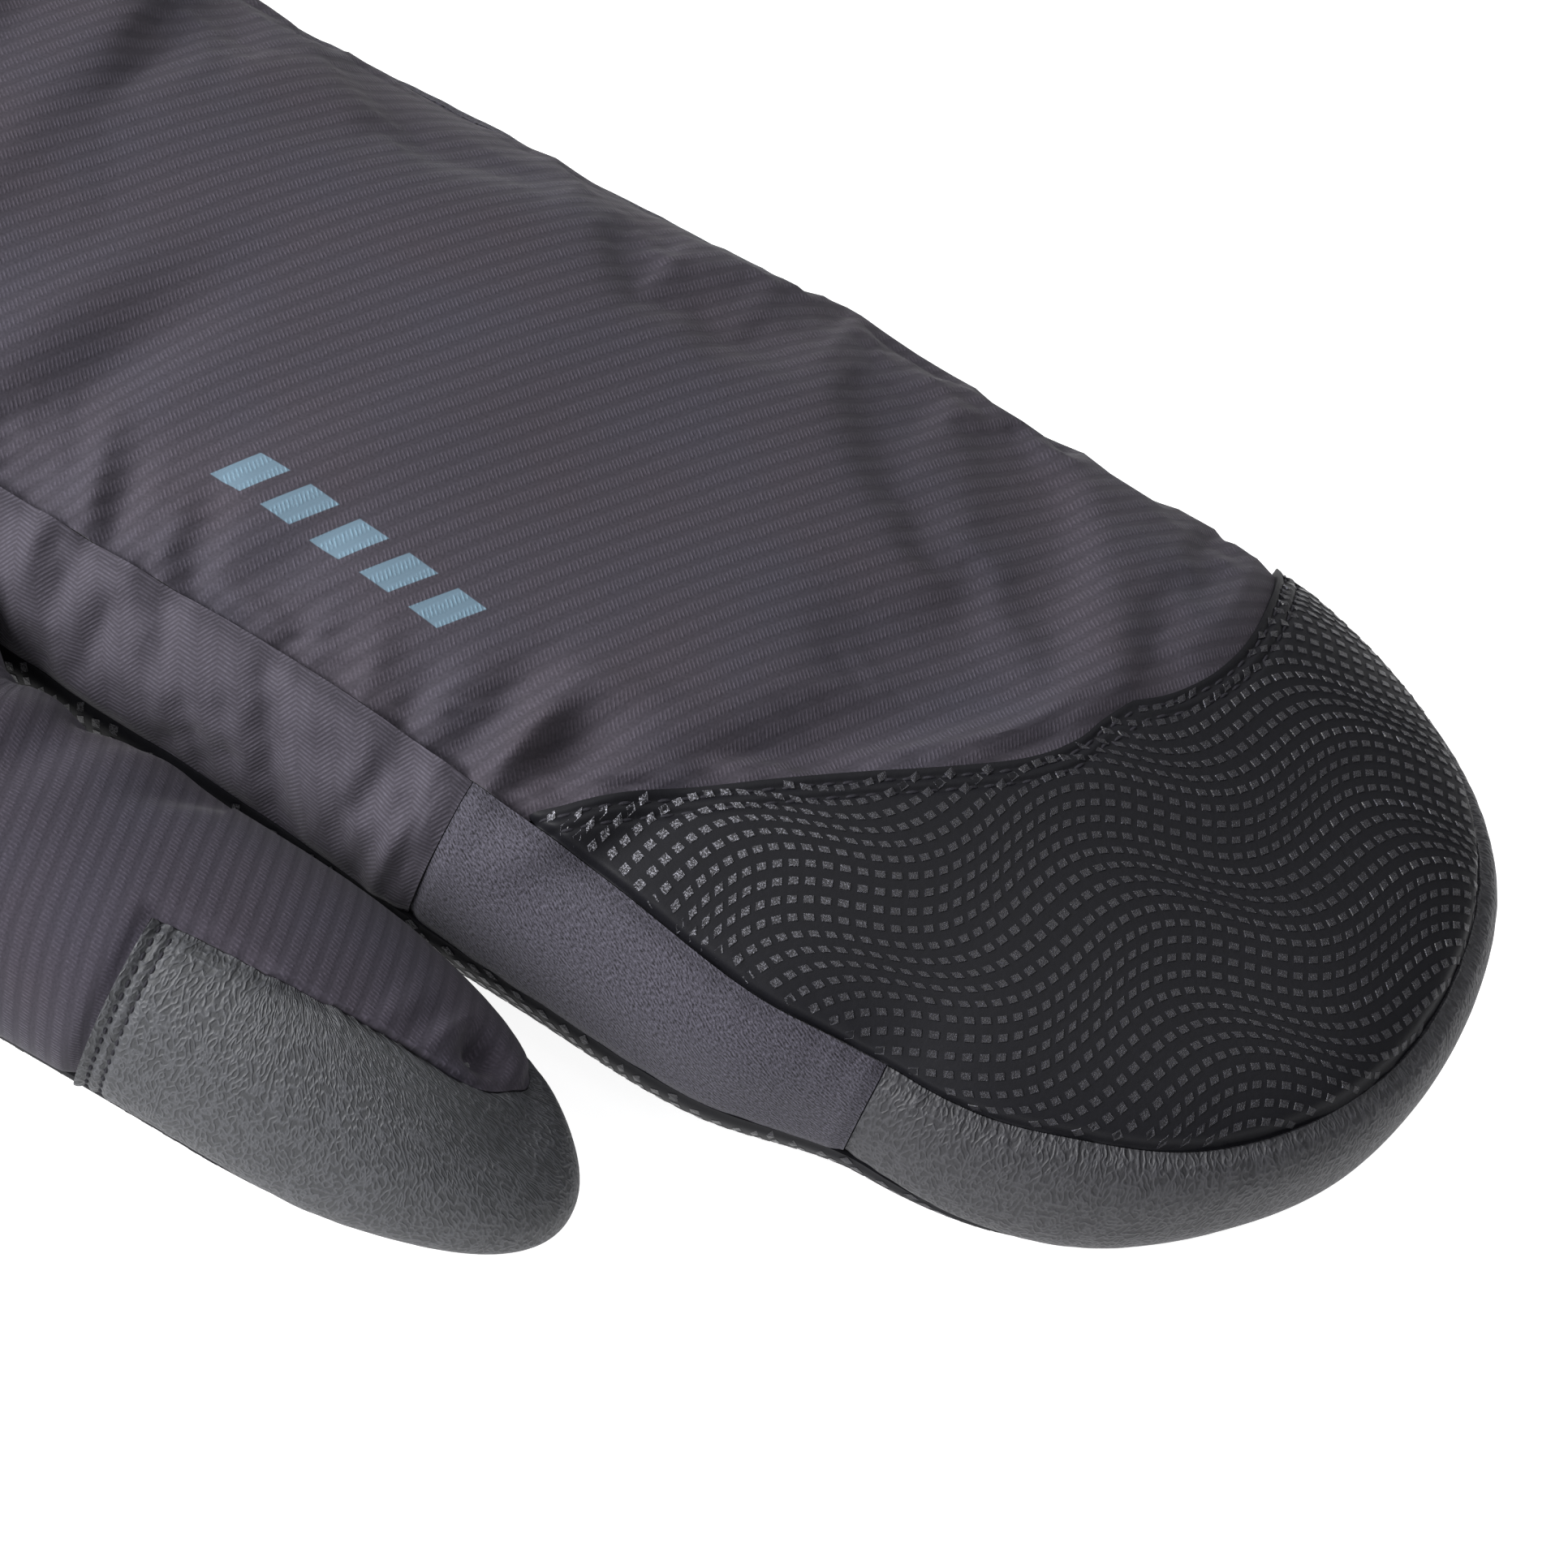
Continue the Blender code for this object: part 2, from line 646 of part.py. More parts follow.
def seam_turns(limb, table, first, last, count):
    """Turns from one place on a seam to another, evenly spaced along it."""
    fine = spread(first, last, 400)
    curve = plan_curve(limb, fine, limb.seam(table, fine))
    run = np.concatenate([[0.0], np.cumsum(np.linalg.norm(np.diff(curve, axis=0), axis=1))])
    return np.interp(spread(0.0, run[-1], count), run, fine)


def tongue_turns(columns):
    """Turns of the tongue's near edge, rounded end and far edge."""
    step = THUMB_TIP - PATCH_LENGTH - 0.5 * SEAM_GAP
    near, far = (math.radians(corner) for corner in TONGUE_CORNERS)
    return (
        seam_turns(THUMB, THUMB_BACK_SEAM, float(THUMB.turn_at(step, True)), near, 15),
        seam_turns(THUMB, THUMB_BACK_SEAM, near, far, columns),
        seam_turns(THUMB, THUMB_BACK_SEAM, float(THUMB.turn_at(step, False)), far, 15),
    )


def thumb_back():
    """The thumb's cloth: all round its base, then a tongue that ends short of the tip."""
    gap = 0.5 * SEAM_GAP
    step = THUMB_TIP - PATCH_LENGTH
    near_turn = THUMB.turn_at(spread(THUMB.start, step - gap, 17), True)
    far_turn = THUMB.turn_at(spread(THUMB.start, step - gap, 17), False)
    near_edge = THUMB.seam(THUMB_BACK_SEAM, near_turn)
    far_edge = THUMB.seam(THUMB_BACK_SEAM, far_turn)
    near_low = 2.0 - THUMB.from_plan(*seam_curve(THUMB, THUMB_PALM_SEAM, near_turn, 1.0, True).T)[1]
    far_low = 2.0 - THUMB.from_plan(*seam_curve(THUMB, THUMB_PALM_SEAM, far_turn, -1.0, True).T)[1]
    skirt, half = 4, 5
    across = [-(near_low + (near_edge - near_low) * k / skirt) for k in range(skirt)]
    across += [-(near_edge * (1.0 - k / half)) for k in range(half)]
    across += [far_edge * k / half for k in range(half)]
    across += [far_edge + (far_low - far_edge) * k / skirt for k in range(skirt + 1)]
    across = np.stack(across, 1)
    turn = np.where(across < 0, near_turn[:, None], far_turn[:, None])
    panel = Panel(THUMB)
    columns = across.shape[1]
    joined = range(skirt, skirt + 2 * half)
    panel.grid(turn, np.abs(across), ("end",), [j for j in range(columns - 1) if j not in joined])
    count = 2 * half + 1
    left, end, right = tongue_turns(count)
    left = seam_curve(THUMB, THUMB_BACK_SEAM, left, -1.0)
    right = seam_curve(THUMB, THUMB_BACK_SEAM, right, 1.0)
    end = seam_curve(THUMB, THUMB_BACK_SEAM, end, -1.0)
    left[-1], right[-1] = end[0], end[-1]
    shared = slice(skirt, skirt + count)
    start = plan_curve(THUMB, turn[-1, shared], np.abs(across[-1, shared]))
    t_turn, t_depth = unpack(THUMB, fill_between(left, right, start, end))
    t_turn[0], t_depth[0] = turn[-1, shared], np.abs(across[-1, shared])
    panel.grid(t_turn, t_depth, ("start",))
    return panel.build("thumb_back")


def thumb_patch():
    """The leather round the thumb's side and tip."""
    step = THUMB_TIP - PATCH_LENGTH + 0.5 * SEAM_GAP
    first, last = float(THUMB.turn_at(step, True)), float(THUMB.turn_at(step, False))
    left, end, right = tongue_turns(11)
    wanted = np.sort(np.concatenate([left, end, right, spread(-HALF_TURN, HALF_TURN, 19)]))
    turns = [first]
    for turn in wanted:
        if turn - turns[-1] > CLOSEST_TURNS and last - turn > CLOSEST_TURNS:
            turns.append(turn)
    return band(THUMB, np.array(turns + [last]), THUMB_BACK_SEAM, THUMB_PALM_SEAM, 7, "thumb_patch")


def cuff():
    """The plain cuff, a ring from the wrist seam to the open mouth."""
    stations = spread(MOUTH, WRIST - 0.5 * SEAM_GAP, 9)
    depths = np.concatenate([spread(0.0, 2.0, 19), spread(2.0, 0.0, 19)])
    near = np.concatenate([np.ones(19, bool), np.zeros(19, bool)])
    turn = np.where(near[None], HAND.turn_at(stations, True)[:, None], HAND.turn_at(stations, False)[:, None])
    panel = Panel(HAND)
    panel.grid(turn, np.repeat(depths[None], len(stations), 0), ("low", "high"))
    return panel.build("cuff")


def closed_limb(limb, start, grow, name):
    """A limb's whole volume from a station to its tip, grown or shrunk, as a hidden cutter."""
    stations = spread(start, limb.heel, 26)
    tip = spread(-HALF_TURN, HALF_TURN, 41)[1:-1]
    turns = np.concatenate([limb.turn_at(stations, True), tip, limb.turn_at(stations[::-1], False)])
    depths = spread(0.0, 2.0, 33)
    turn = np.repeat(turns[:, None], len(depths), 1)
    points = limb.skin(turn, np.repeat(depths[None], len(turns), 0), -grow)
    points[..., 2] = np.where(points[..., 2] < -abs(grow), -abs(grow), points[..., 2])
    bm = bmesh.new()
    verts = [[bm.verts.new(p) for p in row] for row in points]
    for i in range(len(turns) - 1):
        for j in range(len(depths) - 1):
            bm.faces.new((verts[i][j], verts[i + 1][j], verts[i + 1][j + 1], verts[i][j + 1]))
    bmesh.ops.remove_doubles(bm, verts=bm.verts, dist=0.00002)
    bmesh.ops.dissolve_degenerate(bm, edges=bm.edges, dist=0.000002)
    rim = [e for e in bm.edges if e.is_boundary]
    bmesh.ops.holes_fill(bm, edges=rim, sides=0)
    cutter = finish_mesh(bm, name)
    cutter.hide_render = True
    cutter.display_type = "WIRE"
    return cutter


def cut(target, cutter):
    """Take a cutter's volume out of a panel."""
    modifier = target.modifiers.new("cut_by_" + cutter.name, "BOOLEAN")
    modifier.operation = "DIFFERENCE"
    modifier.solver = "EXACT"
    modifier.object = cutter


def main():
    """Build every panel and open the hand to the thumb."""
    for obj in list(bpy.data.objects):
        bpy.data.objects.remove(obj)
    back_panel()
    fingertip_cap()
    palm = under_panel(HAND, PALM_SEAM, WRIST + 0.5 * SEAM_GAP, 24, 15, "palm_panel")
    gussets = hand_bands()
    thumb_pieces = [
        thumb_back(),
        thumb_patch(),
        under_panel(THUMB, THUMB_PALM_SEAM, THUMB.start, 19, 9, "thumb_palm"),
    ]
    cuff()
    hand_volume = closed_limb(HAND, MOUTH - 0.001, CUT_CLEARANCE, "hand_volume")
    thumb_bore = closed_limb(THUMB, THUMB.start + 0.001, -(WALL + BORE_RELIEF), "thumb_bore")
    for piece in (palm, gussets[0]):
        cut(piece, thumb_bore)
    for piece in (thumb_pieces[0], thumb_pieces[2]):
        cut(piece, hand_volume)


main()
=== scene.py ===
"""Looks of the insulated left-hand mitten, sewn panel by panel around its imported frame.

Metres, with +X to the fingertips, -Y to the thumb side and +Z up. Every panel is a fine grid of places on one
of two limbs, the hand with its cuff and the thumb. The relief of seams, gathers and stitches is added to the
limb's own surface, and each panel keeps a padded wall. The cloth coordinates of each panel are in millimetres,
so that a weave or a grain has its real size.
"""

import logging
import math
from dataclasses import dataclass, field
from enum import Enum

import bmesh
import bpy
import numpy as np
from mathutils import Matrix, Vector
from mathutils.bvhtree import BVHTree
from mathutils.geometry import barycentric_transform


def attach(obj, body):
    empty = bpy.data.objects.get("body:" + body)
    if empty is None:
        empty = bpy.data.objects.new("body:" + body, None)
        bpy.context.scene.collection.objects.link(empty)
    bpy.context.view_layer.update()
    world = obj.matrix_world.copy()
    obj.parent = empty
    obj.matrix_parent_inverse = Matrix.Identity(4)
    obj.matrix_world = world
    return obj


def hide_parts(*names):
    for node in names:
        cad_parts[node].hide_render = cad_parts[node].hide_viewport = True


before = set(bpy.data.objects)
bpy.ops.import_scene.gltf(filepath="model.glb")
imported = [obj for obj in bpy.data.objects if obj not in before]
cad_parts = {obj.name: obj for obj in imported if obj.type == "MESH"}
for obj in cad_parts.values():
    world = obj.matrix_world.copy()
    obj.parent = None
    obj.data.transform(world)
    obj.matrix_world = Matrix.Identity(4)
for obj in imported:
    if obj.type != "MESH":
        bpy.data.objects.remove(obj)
log = logging.getLogger("mitten")
Array = np.ndarray
MM = 0.001
HALF_TURN = 0.5 * math.pi
CLOTH_MAP = "cloth"

# Lengths of the mitten, the same as in its source
HAND_LENGTH = 0.225
CUFF_LENGTH = 0.060
TIP_REACH = 0.054
FINGERTIPS = 0.099
HAND_WIDTH = 0.104
HAND_DEPTH = 0.047
THUMB_LENGTH = 0.1453
THUMB_BEND = 0.060
THUMB_REACH = 0.043
THUMB_WIDTH = 0.0350
THUMB_DEPTH = 0.0332
THUMB_GAP = 0.0056
THUMB_TOE_OUT = 0.0014
PATCH_LENGTH = 0.0575
WALL = 0.0035
CROSS_SEAM_BEHIND = 0.1155
LEATHER_START_BEHIND = 0.0572
FLOOR_PRESS = 1.04
WRIST = FINGERTIPS - HAND_LENGTH
MOUTH = WRIST - CUFF_LENGTH
THUMB_TIP = FINGERTIPS - 0.0807
THUMB_ROOT = THUMB_TIP - THUMB_LENGTH
THUMB_INNER = -0.26 * HAND_WIDTH
THUMB_OUTER = -(0.5 * HAND_WIDTH + THUMB_GAP + 0.5 * THUMB_WIDTH)
# The sewn panels meet closer than the solids do
SEAM_GAP = 0.00014
PLAN_SHRINK = 0.8

# Part of the limb, share along that part, near half width, far half width (shares of HAND_WIDTH)
HAND_PLAN = (
    ("cuff", 0.00, 0.580, 0.580),
    ("cuff", 0.50, 0.535, 0.530),
    ("hand", 0.00, 0.476, 0.500),
    ("hand", 0.42, 0.516, 0.483),
    ("hand", 0.73, 0.549, 0.487),
    ("hand", 0.88, 0.558, 0.487),
    ("hand", 1.00, 0.511, 0.484),
)
# Part, share along that part, top, widest height, underside (shares of HAND_DEPTH)
HAND_SIDE = (
    ("cuff", 0.00, 1.220, 0.600, 0.000),
    ("cuff", 0.50, 1.080, 0.540, 0.000),
    ("hand", 0.00, 0.950, 0.480, 0.000),
    ("hand", 0.41, 0.988, 0.490, 0.000),
    ("hand", 0.73, 0.922, 0.470, 0.000),
    ("hand", 0.87, 0.880, 0.450, 0.020),
    ("hand", 1.00, 0.900, 0.520, 0.090),
)
# Share along the thumb, half width (share of THUMB_WIDTH)
THUMB_PLAN = ((0.00, 0.521), (0.35, 0.505), (0.70, 0.500), (1.00, 0.500))
# Share along the thumb, top, widest height, underside (shares of THUMB_DEPTH)
THUMB_SIDE = (
    (0.00, 1.040, 0.480, 0.000),
    (0.40, 1.020, 0.480, 0.000),
    (0.69, 1.000, 0.460, 0.000),
    (0.85, 0.885, 0.410, 0.000),
    (1.00, 0.755, 0.330, 0.040),
)
# Seams: turn in degrees, level. Turn -90 to 90 goes round the tip, and past that each radian is one reach back
BACK_SEAM = (
    (-265.0, 0.655),
    (-215.0, 0.668),
    (-172.0, 0.667),
    (-147.0, 0.640),
    (-122.0, 0.590),
    (-105.0, 0.527),
    (-93.0, 0.463),
    (-81.0, 0.467),
    (-66.0, 0.508),
    (-47.0, 0.483),
    (-20.0, 0.480),
    (10.0, 0.490),
    (60.0, 0.480),
    (110.0, 0.470),
    (265.0, 0.500),
)
PALM_SEAM = (
    (-265.0, -0.080),
    (-190.0, -0.100),
    (-150.0, -0.190),
    (-93.0, -0.300),
    (-66.0, -0.480),
    (0.0, -0.560),
    (66.0, -0.500),
    (110.0, -0.300),
    (265.0, -0.260),
)
THUMB_BACK_SEAM = (
    (-260.0, 0.840),
    (-115.0, 0.908),
    (-103.0, 0.934),
    (-90.0, 0.952),
    (-73.0, 0.960),
    (-42.0, 0.963),
    (-20.0, 0.958),
    (-12.0, 0.940),
    (-8.0, 0.916),
    (-5.0, 0.880),
    (-2.0, 0.845),
    (2.0, 0.808),
    (7.6, 0.740),
    (13.0, 0.620),
    (19.4, 0.500),
    (50.0, 0.440),
    (100.0, 0.420),
    (260.0, 0.420),
)
THUMB_PALM_SEAM = ((-260.0, -0.560), (0.0, -0.640), (260.0, -0.300))
# Turns where the thumb's tongue rounds off at its near and far corner
TONGUE_CORNERS = (-10.0, 26.0)
# Cap's rear edge: share from its near corner to its far one, shares of TIP_REACH behind the fingertips
CAP_LINE = (
    (0.000, 1.990),
    (0.055, 1.931),
    (0.130, 1.825),
    (0.237, 1.619),
    (0.331, 1.407),
    (0.391, 1.248),
    (0.440, 1.120),
    (0.485, 1.035),
    (0.530, 0.982),
    (0.580, 0.946),
    (0.640, 0.920),
    (0.710, 0.905),
    (0.809, 0.898),
    (1.000, 0.897),
)
# Soft folds: limb, share back from the tip, share across (-1 near, 1 far), run in degrees from +X,
# half length and half width (shares of the limb's width), height (share of WALL)
FOLDS = (
    ("hand", 0.455, -0.640, 62.0, 0.120, 0.034, 0.520),
    ("hand", 0.430, -0.560, 62.0, 0.110, 0.036, -0.420),
    ("hand", 0.760, -0.450, 38.0, 0.260, 0.050, -0.380),
    ("hand", 0.700, -0.300, 38.0, 0.240, 0.055, 0.260),
    ("hand", 0.560, 0.550, 12.0, 0.260, 0.060, 0.240),
    ("hand", 0.800, -0.760, 78.0, 0.070, 0.026, -0.360),
    ("hand", 0.720, -0.780, 82.0, 0.070, 0.026, -0.320),
    ("hand", 0.950, 0.100, 90.0, 0.420, 0.045, -0.450),
    ("hand", 0.895, 0.300, 84.0, 0.260, 0.040, 0.300),
    ("thumb", 0.640, -0.200, 20.0, 0.300, 0.070, -0.400),
    ("thumb", 0.560, 0.300, 32.0, 0.340, 0.080, 0.300),
    ("thumb", 0.720, 0.250, 44.0, 0.380, 0.080, -0.420),
    ("thumb", 0.135, 0.120, 80.0, 0.170, 0.080, -0.300),
)
# Creases: cloth coordinates of the middle in mm, run in degrees, half length, half width and height in mm
BACK_CREASES = (
    (-13.7, -43.5, 75.0, 7.5, 2.0, 3.6),
    (-18.6, -42.5, 75.0, 7.5, 2.6, -2.2),
    (-8.5, -39.5, 55.0, 6.5, 2.8, -2.4),
    (6.0, -32.0, 36.0, 14.0, 3.2, -1.5),
    (-7.5, -31.0, 20.0, 7.0, 2.2, 0.9),
    (20.0, -18.0, 42.0, 14.0, 4.5, -0.8),
    (-27.0, -45.0, 88.0, 5.0, 1.8, -0.9),
    (-33.0, -46.0, 92.0, 5.0, 1.8, 0.7),
    (-43.0, -46.0, 96.0, 5.0, 1.9, -0.8),
    (-56.5, -46.0, 95.0, 6.5, 1.8, -1.2),
    (-61.0, -44.5, 95.0, 6.5, 1.7, 1.1),
    (-68.0, -41.5, 100.0, 7.0, 1.8, -1.3),
    (-72.5, -40.0, 105.0, 7.0, 1.8, 1.3),
    (-79.0, -26.0, 71.0, 17.0, 5.0, -2.3),
    (-88.0, -24.0, 71.0, 18.0, 5.0, 1.2),
    (-60.0, 30.0, 18.0, 26.0, 6.0, -1.0),
    (-20.0, 36.0, 4.0, 30.0, 6.0, 0.8),
    (50.0, 6.0, -62.0, 12.0, 3.6, -0.5),
    (42.0, 10.0, -62.0, 12.0, 3.6, 0.4),
)
# The same on the thumb-side strip: the first coordinate starts at the wrist and the second at the top seam
SIDE_CREASES = (
    (51.0, 3.0, 82.0, 8.0, 1.7, 1.1),
    (56.0, 4.0, 86.0, 8.0, 1.7, -1.2),
    (63.0, 3.0, 80.0, 7.0, 1.8, 0.9),
    (69.0, 3.0, 80.0, 7.0, 1.8, -0.9),
    (86.0, 9.0, 62.0, 10.0, 2.5, -0.9),
    (100.0, 7.0, 95.0, 8.0, 2.0, -1.2),
    (105.4, 9.0, 92.0, 11.0, 1.4, 1.3),
)
# The same on the thumb's base
THUMB_CREASES = (
    (-68.0, 24.0, 62.0, 9.0, 2.2, -2.4),
    (-62.5, 22.0, 62.0, 8.0, 2.0, 1.0),
    (-56.0, 19.0, 56.0, 9.0, 2.2, -2.2),
    (-49.5, 14.0, 50.0, 8.0, 2.2, 0.7),
    (-44.0, 10.0, 46.0, 8.0, 2.4, -1.2),
    (-62.0, 2.0, 70.0, 12.0, 4.0, -1.4),
)
# The same on the thumb's tongue, for the pressed pocket before its end
TONGUE_CREASES = (
    (1.8, 3.4, 20.0, 3.1, 2.6, -3.6),
    (-3.2, 1.8, 70.0, 4.5, 1.4, 1.2),
    (-9.5, -0.5, 75.0, 5.0, 1.8, 0.6),
)


class Side(Enum):
    """The four sides of a panel's grid."""

    START = "start"
    END = "end"
    LOW = "low"
    HIGH = "high"


def linear(hex_colour: str) -> tuple[float, float, float, float]:
    """Turn an sRGB hex colour into Blender's linear colour.

    Args:
        hex_colour: six hex digits, with or without a leading hash.

    Returns:
        Linear red, green, blue and an alpha of one.
    """
    digits = hex_colour.lstrip("#")
    shares = [int(digits[k : k + 2], 16) / 255 for k in (0, 2, 4)]
    made = [c / 12.92 if c <= 0.04045 else ((c + 0.055) / 1.055) ** 2.4 for c in shares]
    return made[0], made[1], made[2], 1.0


def column(rows: tuple, k: int) -> list:
    """One column of a table as a list."""
    return [row[k] for row in rows]


def through(stations: list, values: list, at: Array) -> Array:
    """Read a smooth curve through table rows, level at both ends.

    Args:
        stations: where the rows are.
        values: the row values.
        at: where the curve is read.

    Returns:
        The curve's values, held at the end rows outside the table.
    """
    xs = np.asarray(stations, float)
    vs = np.asarray(values, float)
    slopes = np.gradient(vs, xs)
    slopes[0] = slopes[-1] = 0.0
    at = np.clip(at, xs[0], xs[-1])
    i = np.clip(np.searchsorted(xs, at) - 1, 0, len(xs) - 2)
    h = xs[i + 1] - xs[i]
    t = (at - xs[i]) / h
    rise = (3.0 - 2.0 * t) * t * t
    lead = t * (1.0 - t) ** 2 * h * slopes[i]
    trail = t * t * (1.0 - t) * h * slopes[i + 1]
    return vs[i] + (vs[i + 1] - vs[i]) * rise + lead - trail


def ripple(at: Array, spacing: float, seed: int) -> Array:
    """Uneven wave between -1 and 1 along one coordinate.

    Args:
        at: coordinates.
        spacing: distance from one random height to the next.
        seed: picks the wave.

    Returns:
        The wave's heights at the coordinates.
    """
    count = 4096
    heights = np.random.default_rng(seed).uniform(-1.0, 1.0, count)
    where = np.asarray(at, float) / spacing
    i = np.floor(where).astype(int)
    t = where - i
    t = t * t * (3.0 - 2.0 * t)
    return heights[i % count] * (1.0 - t) + heights[(i + 1) % count] * t


def mottle(u: Array, v: Array, spacing: float, seed: int) -> Array:
    """Uneven field between -1 and 1 over two coordinates.

    Args:
        u: first coordinates.
        v: second coordinates.
        spacing: distance from one random height to the next.
        seed: picks the field.

    Returns:
        The field's heights.
    """
    count = 256
    heights = np.random.default_rng(seed).uniform(-1.0, 1.0, (count, count))
    a, b = np.asarray(u, float) / spacing, np.asarray(v, float) / spacing
    i, j = np.floor(a).astype(int), np.floor(b).astype(int)
    s, t = a - i, b - j
    s, t = s * s * (3.0 - 2.0 * s), t * t * (3.0 - 2.0 * t)
    i2, j2 = (i + 1) % count, (j + 1) % count
    i, j = i % count, j % count
    low = heights[i, j] * (1 - s) + heights[i2, j] * s
    high = heights[i, j2] * (1 - s) + heights[i2, j2] * s
    return low * (1 - t) + high * t


@dataclass
class Limb:
    """A padded tube that lies on the floor and ends in a rounded tip.

    A place on it is (turn, depth). turn goes round the outline in plan, as in the seam tables, in radians.
    depth is 0 on the top centre line, 1 at the widest height and 2 on the centre line underneath.
    """

    name: str
    start: float
    tip: float
    reach: float
    power: float
    tip_powers: tuple
    width: float
    fold_root: float

    def __post_init__(self) -> None:
        """Measure arc lengths from the top centre line, for the cloth coordinates."""
        self.heel = self.tip - self.reach
        far = HALF_TURN + (self.heel - self.start) / self.reach
        self.turns = np.linspace(-far, far, 721)
        self.depths = np.linspace(0.0, 2.0, 241)
        points = self.bare(self.turns[:, None], self.depths[None])
        steps = np.linalg.norm(np.diff(points, axis=1), axis=-1)
        self.arcs = np.concatenate([np.zeros((len(self.turns), 1)), np.cumsum(steps, axis=1)], axis=1)

    def half(self, s: Array, near: bool) -> Array:
        """Half width at a station, on the near or the far side."""
        raise NotImplementedError

    def heights(self, s: Array) -> tuple:
        """Top, widest height and underside at a station."""
        raise NotImplementedError

    def spine(self, s: Array) -> tuple:
        """Middle line in plan and its direction at a station."""
        raise NotImplementedError

    def station(self, turn: Array) -> Array:
        """Station of an outline place on the straight sides."""
        return self.heel - (np.abs(turn) - HALF_TURN) * self.reach

    def turn_at(self, s: Array, near: bool) -> Array:
        """Turn of a station on one of the straight sides."""
        turn = HALF_TURN + (self.heel - s) / self.reach
        return np.where(near, -turn, turn)

    def radius(self, turn: Array) -> Array:
        """Reach of the tip's outline in a direction from the heel."""
        side = np.where(turn < 0, self.half(self.heel, True), self.half(self.heel, False))
        along = np.abs(np.cos(turn)) / self.reach
        across = np.abs(np.sin(turn)) / side
        power = np.where(turn < 0, self.tip_powers[0], self.tip_powers[1])
        return (along**power + across**power) ** (-1.0 / power)

    def flat(self, turn: Array, share: Array) -> tuple[Array, Array]:
        """Find places in the limb's own plan.

        Args:
            turn: turns.
            share: shares of the way out to the outline.

        Returns:
            Distances along and across the limb.
        """
        turn, share = np.broadcast_arrays(np.asarray(turn, float), np.asarray(share, float))
        s = self.station(turn)
        width = np.where(turn < 0, self.half(s, True), self.half(s, False))
        r = share * self.radius(np.clip(turn, -HALF_TURN, HALF_TURN))
        tip = np.abs(turn) < HALF_TURN
        along = np.where(tip, self.heel + r * np.cos(turn), s)
        across = np.where(tip, r * np.sin(turn), np.where(turn < 0, -1.0, 1.0) * share * width)
        return along, across

    def bare(self, turn: Array, depth: Array) -> Array:
        """Outer surface without folds.

        Args:
            turn: turns.
            depth: depths.

        Returns:
            Points, with a last axis of three.
        """
        turn, depth = np.broadcast_arrays(np.asarray(turn, float), np.asarray(depth, float))
        angle = np.clip(depth, 0.0, 2.0) * HALF_TURN
        share = np.abs(np.sin(angle)) ** (2.0 / self.power)
        level = np.sign(np.cos(angle)) * np.abs(np.cos(angle)) ** (2.0 / self.power)
        along, across = self.flat(turn, share)
        top, widest, under = self.heights(along)
        rise = np.where(level > 0, top - widest, FLOOR_PRESS * (widest - under))
        z = np.maximum(widest + rise * level, 0.0)
        x0, y0, tx, ty = self.spine(along)
        return np.stack([x0 - ty * across, y0 + tx * across, z], -1)

    def normal(self, turn: Array, depth: Array) -> Array:
        """Outward unit normal of the bare surface.

        Args:
            turn: turns.
            depth: depths.

        Returns:
            Unit vectors, with a last axis of three.
        """
        step = 0.004
        turn, depth = np.broadcast_arrays(np.asarray(turn, float), np.asarray(depth, float))
        d = np.clip(depth, 0.03, 1.97)
        a = self.bare(turn + step, d) - self.bare(turn - step, d)
        b = self.bare(turn, d + step) - self.bare(turn, d - step)
        n = np.cross(b, a)
        n /= np.linalg.norm(n, axis=-1, keepdims=True) + 1e-12
        n[depth < 0.03] = (0.0, 0.0, 1.0)
        n[depth > 1.97] = (0.0, 0.0, -1.0)
        return n

    def folds(self, turn: Array, depth: Array) -> Array:
        """Height of the soft folds on the top half.

        Args:
            turn: turns.
            depth: depths.

        Returns:
            Heights above the bare surface.
        """
        along, across = self.flat(turn, np.minimum(depth, 1.0))
        length = self.tip - self.fold_root
        total = np.zeros(np.shape(along))
        for limb, back, side, run, half_length, half_width, height in FOLDS:
            if limb != self.name:
                continue
            s0 = self.tip - back * length
            e0 = side * 0.5 * self.width
            c, s = math.cos(math.radians(run)), math.sin(math.radians(run))
            u = ((along - s0) * c + (across - e0) * s) / (half_length * self.width)
            v = ((across - e0) * c - (along - s0) * s) / (half_width * self.width)
            total += height * WALL * np.exp(-(u**2) - v**2)
        return total * np.clip((1.15 - np.asarray(depth)) / 0.3, 0.0, 1.0)

    def depth_of(self, level: Array) -> Array:
        """Depth of a level between 1 on top and -1 underneath."""
        level = np.asarray(level, float)
        return np.arccos(np.sign(level) * np.abs(level) ** (0.5 * self.power)) / HALF_TURN

    def seam(self, table: tuple, turn: Array) -> Array:
        """Depth of a seam at a turn, from its table of turns and levels."""
        return self.depth_of(through(np.radians(column(table, 0)), column(table, 1), turn))

    def from_plan(self, along: Array, across: Array) -> tuple[Array, Array]:
        """Find turns and depths of places in the open plan, where depth from the centre line is even.

        Args:
            along: distances along the limb.
            across: distances across it, negative on the near side.

        Returns:
            Turns and depths.
        """
        near = across < 0
        half = np.where(near, self.half(along, True), self.half(along, False))
        ahead = along > self.heel
        angle = np.arctan2(across, along - self.heel)
        r = np.hypot(along - self.heel, across)
        turn = np.where(ahead, angle, self.turn_at(along, near))
        depth = np.where(ahead, r / self.radius(angle), np.abs(across) / half)
        return turn, depth

